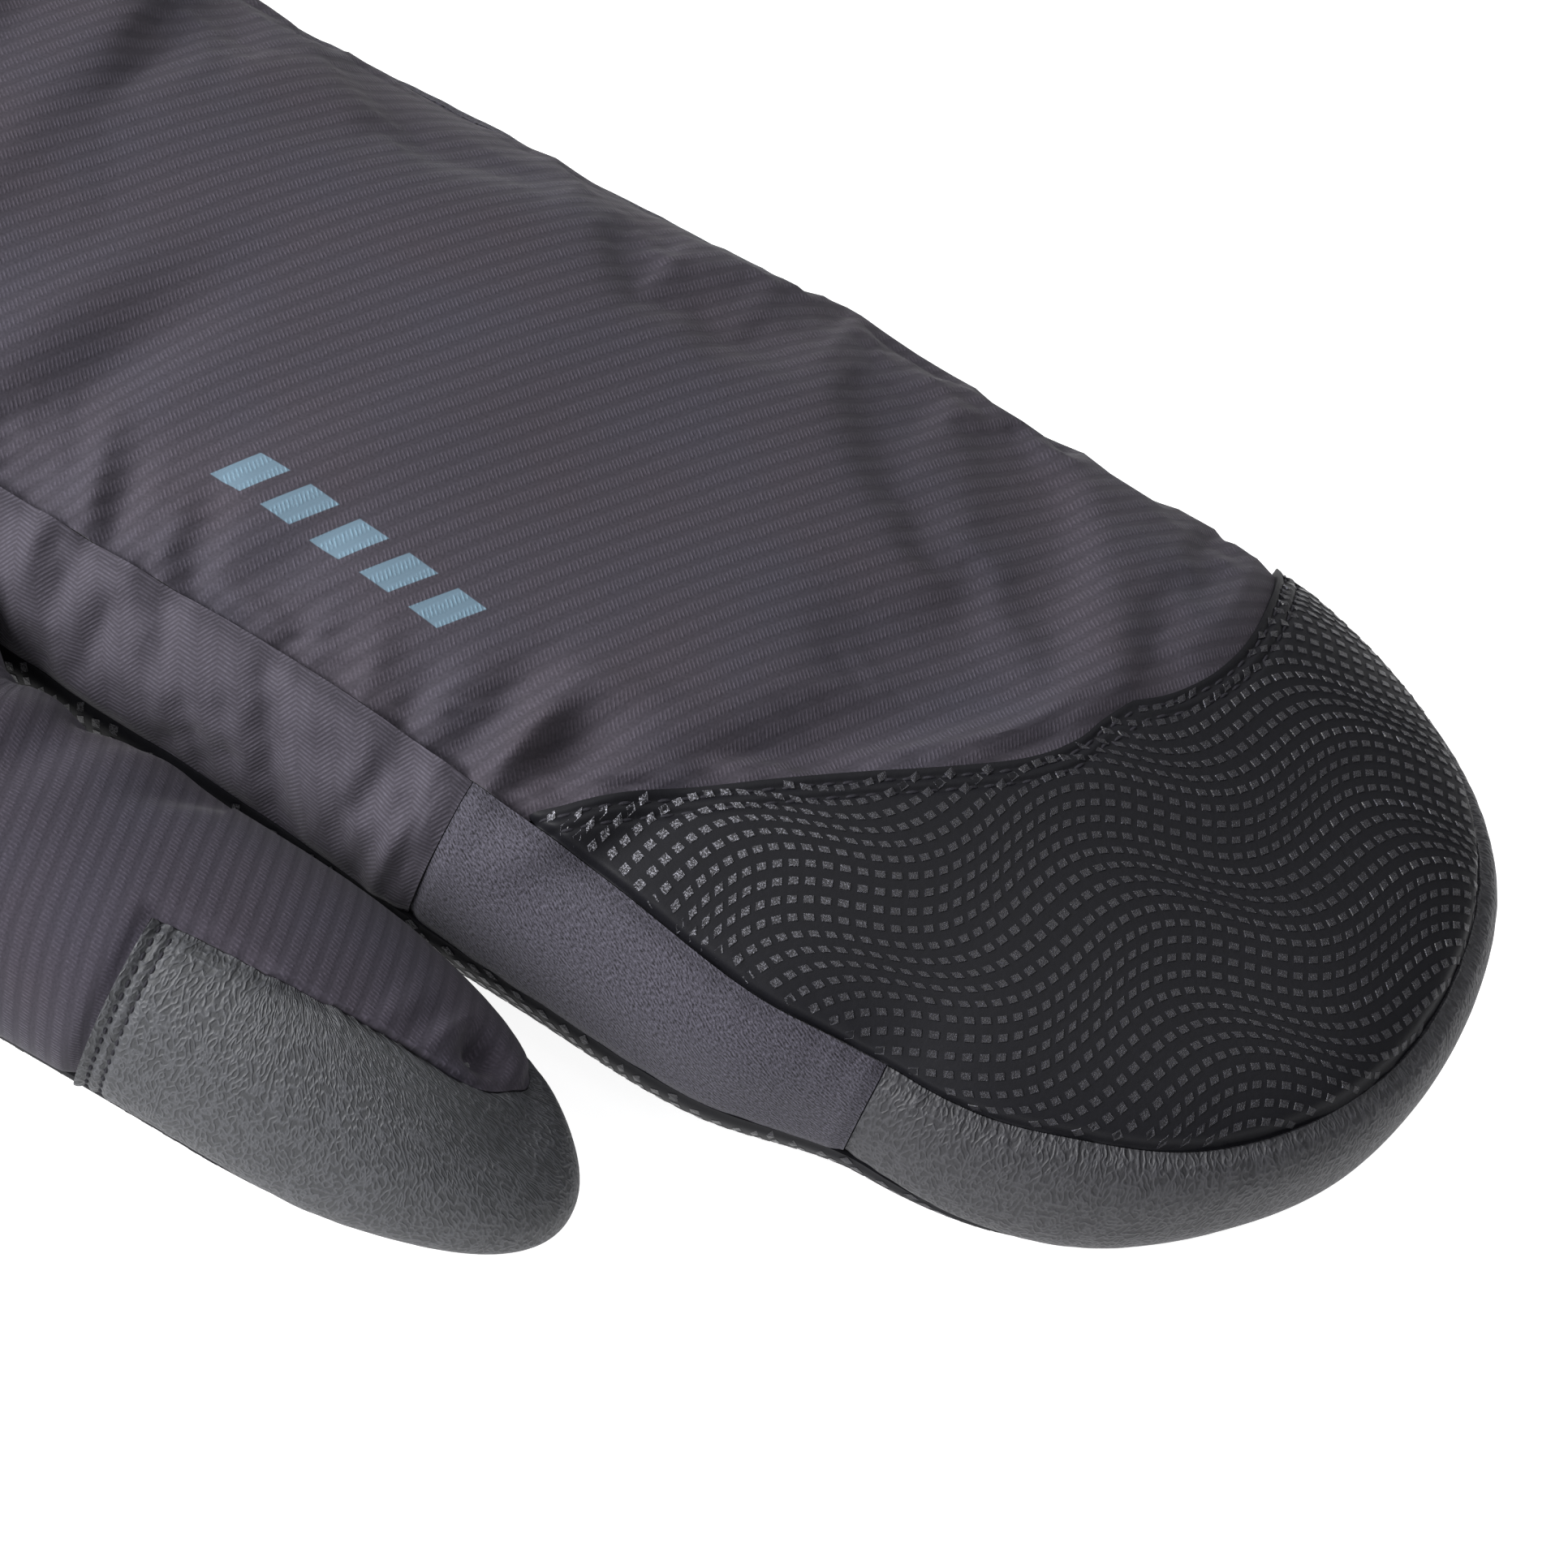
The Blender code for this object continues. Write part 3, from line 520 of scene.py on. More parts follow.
    def unrolled(self, turn: Array, depth: Array, under: bool) -> Array:
        """Lay places out as the cloth would lie flat.

        Args:
            turn: turns.
            depth: depths.
            under: measures from the centre line underneath, and not from the one on top.

        Returns:
            Millimetres along and across the cloth, with a last axis of two.
        """
        rows = (turn - self.turns[0]) / (self.turns[1] - self.turns[0])
        columns = depth / (self.depths[1] - self.depths[0])
        i = np.clip(rows.astype(int), 0, len(self.turns) - 2)
        j = np.clip(columns.astype(int), 0, len(self.depths) - 2)
        a, b = rows - i, columns - j
        arc = (1 - a) * ((1 - b) * self.arcs[i, j] + b * self.arcs[i, j + 1])
        arc = arc + a * ((1 - b) * self.arcs[i + 1, j] + b * self.arcs[i + 1, j + 1])
        if under:
            arc = (1 - a) * self.arcs[i, -1] + a * self.arcs[i + 1, -1] - arc
        tip = np.abs(turn) < HALF_TURN
        along = np.where(tip, self.heel + arc * np.cos(turn), self.station(turn))
        across = np.where(tip, arc * np.sin(turn), np.sign(turn) * arc)
        return np.stack([along, across], -1) / MM


class Hand(Limb):
    """The hand and cuff, on a straight spine."""

    def stations(self, rows: tuple) -> list:
        """Stations of table rows given as shares of the cuff or of the hand."""
        end = self.heel if rows is HAND_PLAN else self.tip
        return [
            MOUTH + share * CUFF_LENGTH if part == "cuff" else WRIST + share * (end - WRIST)
            for part, share in zip(column(rows, 0), column(rows, 1))
        ]

    def half(self, s: Array, near: bool) -> Array:
        """Half width at a station."""
        return HAND_WIDTH * through(self.stations(HAND_PLAN), column(HAND_PLAN, 2 if near else 3), s)

    def heights(self, s: Array) -> tuple:
        """Top, widest height and underside at a station."""
        xs = self.stations(HAND_SIDE)
        return tuple(HAND_DEPTH * through(xs, column(HAND_SIDE, k), s) for k in (2, 3, 4))

    def spine(self, s: Array) -> tuple:
        """A straight line along +X."""
        s = np.asarray(s, float)
        return s, np.zeros_like(s), np.ones_like(s), np.zeros_like(s)


class Thumb(Limb):
    """The thumb, on a spine that leaves the palm and turns parallel to the hand."""

    def half(self, s: Array, near: bool) -> Array:
        """Half width at a station."""
        share = (s - self.start) / (self.tip - self.start)
        return THUMB_WIDTH * through(column(THUMB_PLAN, 0), column(THUMB_PLAN, 1), share)

    def heights(self, s: Array) -> tuple:
        """Top, widest height and underside at a station."""
        share = (s - self.start) / (self.tip - self.start)
        shares = column(THUMB_SIDE, 0)
        return tuple(THUMB_DEPTH * through(shares, column(THUMB_SIDE, k), share) for k in (1, 2, 3))

    def spine(self, s: Array) -> tuple:
        """An S-bend out of the palm, then a slight toe-out."""
        s = np.asarray(s, float)
        held = np.minimum(s, self.heel)
        t = np.clip((held - self.start) / THUMB_BEND, 0.0, 1.0)
        swing = THUMB_OUTER - THUMB_INNER
        run = self.tip - self.start - THUMB_BEND
        ahead = np.clip(held - self.start - THUMB_BEND, 0.0, None) / run
        share = np.where(t < 0.5, 2.0 * t**2, 1.0 - 2.0 * (1.0 - t) ** 2)
        y = THUMB_INNER + swing * share - THUMB_TOE_OUT * ahead
        slope = swing * 4.0 / THUMB_BEND * np.minimum(t, 1.0 - t)
        slope = slope + np.where(held > self.start + THUMB_BEND, -THUMB_TOE_OUT / run, 0.0)
        size = np.hypot(1.0, slope)
        tx, ty = 1.0 / size, slope / size
        over = s - held
        return held + over * tx, y + over * ty, tx, ty


HAND = Hand(
    name="hand",
    start=MOUTH,
    tip=FINGERTIPS,
    reach=TIP_REACH,
    power=2.6,
    tip_powers=(2.10, 2.19),
    width=HAND_WIDTH,
    fold_root=WRIST,
)
THUMB = Thumb(
    name="thumb",
    start=THUMB_ROOT,
    tip=THUMB_TIP,
    reach=THUMB_REACH,
    power=2.4,
    tip_powers=(2.10, 2.02),
    width=THUMB_WIDTH,
    fold_root=THUMB_ROOT,
)


def graded(length: float, fine: float, coarse: float, band: float, ends: tuple[bool, bool]) -> Array:
    """Shares from 0 to 1 that step finely next to seams and coarsely between them.

    Args:
        length: length that the shares span.
        fine: step at a seam.
        coarse: step away from it.
        band: width of the fine strip.
        ends: whether the first and the last end is a seam.

    Returns:
        Rising shares, the first 0 and the last 1.
    """
    at = np.linspace(0.0, length, 4000)
    near = np.full_like(at, 9.0)
    if ends[0]:
        near = np.minimum(near, at / band)
    if ends[1]:
        near = np.minimum(near, (length - at) / band)
    step = fine + (coarse - fine) * np.clip(near - 0.6, 0.0, 1.0)
    count = np.concatenate([[0.0], np.cumsum(np.diff(at) / step[1:])])
    wanted = np.linspace(0.0, count[-1], int(round(count[-1])) + 1)
    return np.interp(wanted, count, at) / length


def arc_length(curve: Array) -> Array:
    """Length along a curve at each of its rows."""
    return np.concatenate([[0.0], np.cumsum(np.linalg.norm(np.diff(curve, axis=0), axis=1))])


def grid_quads(rows: int, columns: int) -> Array:
    """Four-cornered faces of a grid whose points are numbered row by row."""
    at = np.arange(rows * columns).reshape(rows, columns)
    return np.stack([at[:-1, :-1], at[1:, :-1], at[1:, 1:], at[:-1, 1:]], -1).reshape(-1, 4)


def spaced(curve: Array, shares: Array) -> Array:
    """The same curve read at shares of its length.

    Args:
        curve: rows of (along, across).
        shares: shares from 0 to 1.

    Returns:
        One row for each share.
    """
    run = arc_length(curve)
    return np.stack([np.interp(shares * run[-1], run, curve[:, k]) for k in (0, 1)], -1)


def plan_curve(limb: Limb, turn: Array, depth: Array) -> Array:
    """Rows of (along, across) in the open plan."""
    return np.stack(limb.flat(turn, depth), -1)


def seam_curve(limb: Limb, table: tuple, turn: Array, out: float = -1.0, under: bool = False) -> Array:
    """A seam in the open plan, moved half a gap square to itself.

    Args:
        limb: the limb that it runs on.
        table: its turns and levels.
        turn: where it is read.
        out: 1 or -1, the side that it moves to.
        under: reads depth from the centre line underneath.

    Returns:
        Rows of (along, across).
    """
    depth = limb.seam(table, turn)
    curve = plan_curve(limb, turn, 2.0 - depth if under else depth)
    run = np.gradient(curve, axis=0)
    run /= np.linalg.norm(run, axis=1, keepdims=True)
    return curve + out * 0.5 * SEAM_GAP * PLAN_SHRINK * np.stack([run[:, 1], -run[:, 0]], -1)


def fill_between(left: Array, right: Array, start: Array, end: Array, rows: Array, columns: Array) -> Array:
    """Grid of plan places inside four edge curves.

    Args:
        left: edge from start to end, at the row shares.
        right: the edge across from it.
        start: edge from left to right, at the column shares.
        end: the edge across from it.
        rows: row shares.
        columns: column shares.

    Returns:
        Rows by columns of (along, across).
    """
    t = rows[:, None, None]
    q = columns[None, :, None]
    sides = (1 - q) * left[:, None] + q * right[:, None]
    ends = (1 - t) * start[None] + t * end[None]
    low = (1 - q) * left[0] + q * right[0]
    high = (1 - q) * left[-1] + q * right[-1]
    return sides + ends - ((1 - t) * low + t * high)


def link(mesh: bpy.types.Mesh, name: str, finishes: list) -> bpy.types.Object:
    """Put a mesh in the scene with its finishes.

    Args:
        mesh: the finished mesh.
        name: the piece's name.
        finishes: materials in slot order.

    Returns:
        The new object.
    """
    for finish in finishes:
        mesh.materials.append(finish)
    piece = bpy.data.objects.new(name, mesh)
    bpy.context.scene.collection.objects.link(piece)
    return piece


@dataclass
class Sheet:
    """One sewn panel as grids of places on a limb, with relief, cloth coordinates and a padded wall."""

    limb: Limb
    turn: Array
    depth: Array
    under: bool = False
    wrapped: bool = False
    relief: Array = field(init=False)
    away: dict = field(init=False)
    run: dict = field(init=False)

    def __post_init__(self) -> None:
        """Measure how far every place is from each side of the panel."""
        self.turn, self.depth = np.broadcast_arrays(self.turn, self.depth)
        self.relief = np.zeros(self.turn.shape)
        self.smooth = self.limb.bare(self.turn, self.depth)
        down = np.linalg.norm(np.diff(self.smooth, axis=0), axis=-1)
        over = np.linalg.norm(np.diff(self.smooth, axis=1), axis=-1)
        rows = np.concatenate([np.zeros((1, down.shape[1])), np.cumsum(down, axis=0)])
        columns = np.concatenate([np.zeros((over.shape[0], 1)), np.cumsum(over, axis=1)], axis=1)
        self.away = {
            Side.START: rows,
            Side.END: rows[-1:] - rows,
            Side.LOW: columns,
            Side.HIGH: columns[:, -1:] - columns,
        }
        self.run = {
            Side.START: columns[:1],
            Side.END: columns[-1:],
            Side.LOW: rows[:, :1],
            Side.HIGH: rows[:, -1:],
        }

    def roll(self, side: Side, height: float, reach: float) -> None:
        """Turn an edge down into its seam, or up with a negative height."""
        self.relief = self.relief - height * np.exp(-((self.away[side] / reach) ** 2))

    def gather(self, side: Side, height: float, reach: float, spacing: float, seed: int) -> None:
        """Pucker the cloth along a seam.

        Args:
            side: the seam's side.
            height: height of the puckers.
            reach: how far they run in from the seam.
            spacing: distance between them along it.
            seed: picks the pattern.
        """
        away = self.away[side]
        uneven = 0.65 + 0.35 * ripple(self.run[side], 4.0 * spacing, seed + 1)
        wave = ripple(self.run[side] + 0.0 * away, spacing, seed)
        self.relief = self.relief + height * wave * uneven * np.exp(-away / reach)

    def crease(self, rows: tuple) -> None:
        """Fold the cloth along short straight creases, given in cloth coordinates."""
        cloth = self.cloth()
        for along, across, run, half_length, half_width, height in rows:
            c, s = math.cos(math.radians(run)), math.sin(math.radians(run))
            x, y = cloth[..., 0] - along, cloth[..., 1] - across
            u, v = (x * c + y * s) / half_length, (y * c - x * s) / half_width
            self.relief = self.relief + height * MM * np.exp(-(u**2) - v**2)

    def groove(self, side: Side, distance: float, height: float, reach: float) -> None:
        """Press a line in at a distance from a side."""
        self.relief = self.relief - height * np.exp(-(((self.away[side] - distance) / reach) ** 2))

    def unrest(self, height: float, spacing: float, seed: int) -> None:
        """Let the padding show through as soft unevenness."""
        cloth = self.cloth()
        self.relief = self.relief + height * mottle(cloth[..., 0], cloth[..., 1], spacing / MM, seed)

    def cloth(self) -> Array:
        """Cloth coordinates in millimetres.

        Returns:
            Along and across for a panel on top or underneath, and along and down for a strip round the side.
        """
        if self.wrapped:
            middle = self.turn.shape[1] // 2
            along = self.away[Side.START][:, middle : middle + 1] + 0.0 * self.turn
            return np.stack([along, self.away[Side.LOW]], -1) / MM
        return self.limb.unrolled(self.turn, self.depth, self.under)

    def outer(self) -> Array:
        """Points of the outer face, with folds and relief."""
        rise = self.limb.folds(self.turn, self.depth) + self.relief
        made = self.smooth + self.limb.normal(self.turn, self.depth) * rise[..., None]
        made[..., 2] = np.maximum(made[..., 2], 0.0)
        return made

    def inner(self) -> Array:
        """Points of the lining's face."""
        rise = self.limb.folds(self.turn, self.depth) - WALL
        return self.smooth + self.limb.normal(self.turn, self.depth) * rise[..., None]

    def line(self, side: Side, distance: float) -> tuple[Array, Array]:
        """Read a line on the outer face at a distance from the start or the end side.

        Args:
            side: START or END.
            distance: distance in from it.

        Returns:
            Points and outward normals, leaving out the columns that are too short.
        """
        points = self.outer()
        normals = self.limb.normal(self.turn, self.depth)
        away = self.away[side]
        order = slice(None) if side is Side.START else slice(None, None, -1)
        columns = [j for j in range(away.shape[1]) if away[:, j].max() > distance + 0.3 * MM]

        def read(field_values: Array) -> Array:
            """Values of a field where each column passes the line."""
            rows = []
            for j in columns:
                at = away[order, j]
                rows.append([np.interp(distance, at, field_values[order, j, k]) for k in range(3)])
            return np.array(rows)

        return read(points), read(normals)


@dataclass(frozen=True)
class Slack:
    """Blender's cloth, run on a coarse copy of a panel that is pinned at its seams and cut a little large."""

    step: float = 2.4 * MM
    frames: int = 24
    ease: float = 0.035
    pressure: float = 1.5
    mass: float = 0.15
    stretch_stiffness: float = 25.0
    shear_stiffness: float = 12.0
    bend_stiffness: float = 0.6
    most: float = 1.3 * MM

    def settle(self, sheet: Sheet) -> None:
        """Run the cloth and add how far it moved to the sheet's relief.

        Args:
            sheet: the panel's sheet.
        """
        m, n = sheet.turn.shape
        down, over = sheet.away[Side.START][:, n // 2], sheet.away[Side.LOW][m // 2]
        picked = []
        for arc in (down, over):
            wanted = np.linspace(0.0, arc[-1], int(arc[-1] / self.step))
            picked.append(np.unique(np.searchsorted(arc, wanted).clip(0, len(arc) - 1)))
        rows, columns = picked
        points = sheet.outer()[np.ix_(rows, columns)]
        r, c = points.shape[:2]
        at = np.arange(r * c).reshape(r, c)
        mesh = bpy.data.meshes.new("slack")
        mesh.from_pydata(points.reshape(-1, 3).tolist(), [], grid_quads(r, c).tolist())
        piece = link(mesh, "slack", [])
        rim = np.concatenate([at[0], at[-1], at[:, 0], at[:, -1]])
        piece.vertex_groups.new(name="seam").add(np.unique(rim).tolist(), 1.0, "REPLACE")
        cloth = piece.modifiers.new("cloth", "CLOTH")
        settings = cloth.settings
        settings.quality = 6
        settings.mass = self.mass
        settings.tension_stiffness = settings.compression_stiffness = self.stretch_stiffness
        settings.shear_stiffness = self.shear_stiffness
        settings.bending_stiffness = self.bend_stiffness
        settings.vertex_group_mass = "seam"
        settings.shrink_min = -self.ease
        settings.use_pressure = True
        settings.uniform_pressure_force = self.pressure
        settings.effector_weights.gravity = 0.0
        cloth.collision_settings.use_collision = False
        cloth.point_cache.frame_end = self.frames
        for k in range(1, self.frames + 1):
            bpy.context.scene.frame_set(k)
        settled = piece.evaluated_get(bpy.context.evaluated_depsgraph_get()).data
        moved = np.empty(3 * len(settled.vertices))
        settled.vertices.foreach_get("co", moved)
        out = sheet.limb.normal(sheet.turn, sheet.depth)[np.ix_(rows, columns)]
        rise = ((moved.reshape(r, c, 3) - points) * out).sum(-1)
        bpy.context.scene.frame_set(1)
        bpy.data.objects.remove(piece)
        log.info("cloth settled, rising %.2f to %.2f mm", rise.min() / MM, rise.max() / MM)
        rise = self.most * np.tanh(rise / self.most)
        full = np.array([np.interp(over, over[columns], row) for row in rise])
        full = np.array([np.interp(down, down[rows], line) for line in full.T]).T
        sheet.relief = sheet.relief + full


def shade(mesh: bpy.types.Mesh) -> None:
    """Shade a panel smooth, with its edges sharp."""
    mesh.shade_smooth()
    mesh.set_sharp_from_angle(angle=math.radians(60.0))


class Sewing:
    """Gathers sheets into one closed panel."""

    def __init__(self) -> None:
        """Start with no sheets."""
        self.points: list = []
        self.maps: list = []
        self.faces: list = []
        self.kinds: list = []
        self.count = 0

    def add(self, sheet: Sheet, joined: tuple = (), shut: Array | None = None) -> None:
        """Add a sheet with its lining and its edges.

        Args:
            sheet: the sheet.
            joined: sides that weld to another sheet, or to this one's other side, and stay open.
            shut: columns whose end edge is closed where the rest of that side is joined.
        """
        outer, inner, cloth = sheet.outer(), sheet.inner(), sheet.cloth()
        m, n = outer.shape[:2]
        top = self.count + np.arange(m * n).reshape(m, n)
        low = top + m * n
        self.count += 2 * m * n
        self.points += [outer.reshape(-1, 3), inner.reshape(-1, 3)]
        self.maps += [cloth.reshape(-1, 2), cloth.reshape(-1, 2)]

        def quads(a: Array, b: Array, c: Array, d: Array, kind: int) -> None:
            """Keep four-cornered faces of one finish."""
            made = np.stack([a.ravel(), b.ravel(), c.ravel(), d.ravel()], -1)
            self.faces.append(made)
            self.kinds.append(np.full(len(made), kind))

        quads(top[:-1, :-1], top[1:, :-1], top[1:, 1:], top[:-1, 1:], 0)
        quads(low[:-1, 1:], low[1:, 1:], low[1:, :-1], low[:-1, :-1], 1)
        if Side.START not in joined:
            quads(top[0, :-1], top[0, 1:], low[0, 1:], low[0, :-1], 0)
        if Side.END not in joined or shut is not None:
            keep = np.arange(n - 1) if Side.END not in joined else shut
            quads(top[-1, keep + 1], top[-1, keep], low[-1, keep], low[-1, keep + 1], 0)
        if Side.LOW not in joined:
            quads(top[1:, 0], top[:-1, 0], low[:-1, 0], low[1:, 0], 0)
        if Side.HIGH not in joined:
            quads(top[:-1, -1], top[1:, -1], low[1:, -1], low[:-1, -1], 0)

    def close(self, name: str, finishes: list) -> bpy.types.Object:
        """Weld the sheets into the finished panel.

        Args:
            name: the piece's name.
            finishes: cloth first, lining second.

        Returns:
            The panel's object.
        """
        points = np.concatenate(self.points)
        maps = np.concatenate(self.maps)
        faces = np.concatenate(self.faces)
        mesh = bpy.data.meshes.new(name)
        mesh.from_pydata(points.tolist(), [], faces.tolist())
        mesh.polygons.foreach_set("material_index", np.concatenate(self.kinds).astype(np.int32))
        layer = mesh.uv_layers.new(name=CLOTH_MAP)
        layer.data.foreach_set("uv", maps[faces.ravel()].astype(np.float32).ravel())
        bm = bmesh.new()
        bm.from_mesh(mesh)
        bmesh.ops.remove_doubles(bm, verts=bm.verts, dist=0.000002)
        bmesh.ops.dissolve_degenerate(bm, edges=bm.edges, dist=0.0000005)
        bmesh.ops.recalc_face_normals(bm, faces=bm.faces)
        bm.to_mesh(mesh)
        bm.free()
        shade(mesh)
        return link(mesh, name, finishes)


def sewn(sheet: Sheet, name: str, finishes: list) -> bpy.types.Object:
    """Sew a panel from one sheet.

    Args:
        sheet: the sheet.
        name: the piece's name.
        finishes: cloth first, lining second.

    Returns:
        The panel's object.
    """
    sewing = Sewing()
    sewing.add(sheet)
    return sewing.close(name, finishes)


def closed_limb(limb: Limb, start: float, grow: float, name: str) -> bpy.types.Object:
    """A limb's whole volume as a cutter.

    Args:
        limb: the limb.
        start: station of its open end.
        grow: how far its surface is moved outward.
        name: the cutter's name.

    Returns:
        The cutter's object.
    """
    stations = np.linspace(start, limb.heel, 60)
    tip = np.linspace(-HALF_TURN, HALF_TURN, 61)[1:-1]
    turns = np.concatenate([limb.turn_at(stations, True), tip, limb.turn_at(stations[::-1], False)])
    turn, depth = np.meshgrid(turns, np.linspace(0.0, 2.0, 61), indexing="ij")
    points = limb.bare(turn, depth) + limb.normal(turn, depth) * grow
    points[..., 2] = np.maximum(points[..., 2], -abs(grow))
    mesh = bpy.data.meshes.new(name)
    mesh.from_pydata(points.reshape(-1, 3).tolist(), [], grid_quads(*turn.shape).tolist())
    bm = bmesh.new()
    bm.from_mesh(mesh)
    bmesh.ops.remove_doubles(bm, verts=bm.verts, dist=0.00001)
    bmesh.ops.dissolve_degenerate(bm, edges=bm.edges, dist=0.000002)
    bmesh.ops.holes_fill(bm, edges=[e for e in bm.edges if e.is_boundary], sides=0)
    bmesh.ops.recalc_face_normals(bm, faces=bm.faces)
    bm.to_mesh(mesh)
    bm.free()
    return link(mesh, name, [])


def cut(piece: bpy.types.Object, cutter: bpy.types.Object) -> None:
    """Take a cutter's volume out of a panel, for good.

    Args:
        piece: the panel.
        cutter: the volume.
    """
    modifier = piece.modifiers.new("opening", "BOOLEAN")
    modifier.operation = "DIFFERENCE"
    modifier.solver = "EXACT"
    modifier.object = cutter
    cut_piece = piece.evaluated_get(bpy.context.evaluated_depsgraph_get())
    mesh = bpy.data.meshes.new_from_object(cut_piece)
    piece.modifiers.clear()
    piece.data = mesh
    shade(mesh)


class Graph:
    """The node tree of one material."""

    def __init__(self, name: str) -> None:
        """Make the material with an empty Principled shader."""
        self.material = bpy.data.materials.new(name)
        self.material.use_nodes = True
        self.tree = self.material.node_tree
        self.shader = self.tree.nodes["Principled BSDF"]

    def add(self, kind: str, inputs: dict | None = None, **settings: object) -> bpy.types.Node:
        """Add a node with its settings and links.

        Args:
            kind: Blender's name of the node, without its ShaderNode prefix.
            inputs: values, nodes or sockets by input name or index.
            settings: the node's own properties.

        Returns:
            The new node.
        """
        made = self.tree.nodes.new("ShaderNode" + kind)
        for key, value in settings.items():
            setattr(made, key, value)
        self.feed(made, inputs or {})
        return made

    def feed(self, target: bpy.types.Node, inputs: dict) -> None:
        """Set or link inputs of a node.

        Args:
            target: the node.
            inputs: values, nodes or sockets by input name or index.
        """
        for key, value in inputs.items():
            if isinstance(value, bpy.types.Node):
                value = value.outputs[0]
            if isinstance(value, bpy.types.NodeSocket):
                self.tree.links.new(value, target.inputs[key])
            else:
                target.inputs[key].default_value = value

    def work(self, value: object, *steps: tuple) -> object:
        """Run a value through arithmetic steps.

        Args:
            value: a number, node or socket.
            steps: an operation with its other operands, in order.

        Returns:
            The last node.
        """
        for operation, *others in steps:
            operands = dict(enumerate([value, *others]))
            value = self.add("Math", operands, operation=operation)
        return value

    def share(self, value: object, *steps: tuple) -> object:
        """Run a value through arithmetic steps and keep the result between 0 and 1."""
        return self.work(value, *steps, ("MINIMUM", 1.0), ("MAXIMUM", 0.0))

    def wave(self, value: object, pitch: float) -> object:
        """Cosine of a coordinate, which comes back at this pitch."""
        return self.work(value, ("MULTIPLY", 2 * math.pi / pitch), ("COSINE",))

    def across(self, angle: float, bend: float = 0.0, bend_size: float = 30.0) -> tuple:
        """Cloth coordinates in millimetres, turned and slightly bent.

        Args:
            angle: turn of the first axis from the cloth's length, in degrees.
            bend: how far the threads wander, in millimetres.
            bend_size: size of that wandering.

        Returns:
            Sockets of the coordinate along the turned axis and of the one across it.
        """
        place = self.add("UVMap", uv_map=CLOTH_MAP)
        if bend:
            wander = self.add("TexNoise", {"Vector": place, "Scale": 1.0 / bend_size, "Detail": 1.0})
            wander = wander.outputs["Color"]
            moved = self.add("VectorMath", {0: wander, 1: (0.5, 0.5, 0.5)}, operation="SUBTRACT")
            moved = self.add("VectorMath", {0: moved, "Scale": 4.0 * bend}, operation="SCALE")
            place = self.add("VectorMath", {0: place, 1: moved}, operation="ADD")
        turned = self.add("Mapping", {"Vector": place, "Rotation": (0.0, 0.0, -math.radians(angle))})
        parts = self.add("SeparateXYZ", {0: turned})
        return parts.outputs["X"], parts.outputs["Y"]

    def blend(self, share: object, first: object, second: object, kind: str = "MIX") -> bpy.types.NodeSocket:
        """Mix two colours by a share.

        Args:
            share: the second colour's share.
            first: colour or socket at share 0.
            second: colour or socket at share 1.
            kind: Blender's name of how they are mixed.

        Returns:
            The mixed colour's socket.
        """
        made = self.add("Mix", {0: share, 6: first, 7: second}, data_type="RGBA", blend_type=kind)
        return made.outputs[2]

    def raise_by(self, height: object, relief: float = 1.0) -> bpy.types.Node:
        """Bump whose height is in millimetres once it is multiplied by the relief."""
        lifted = self.work(height, ("MULTIPLY", relief))
        return self.add("Bump", {"Height": lifted, "Distance": MM, "Strength": 1.0})


# Roughness of bare softshell
SOFTSHELL_ROUGHNESS = 0.82


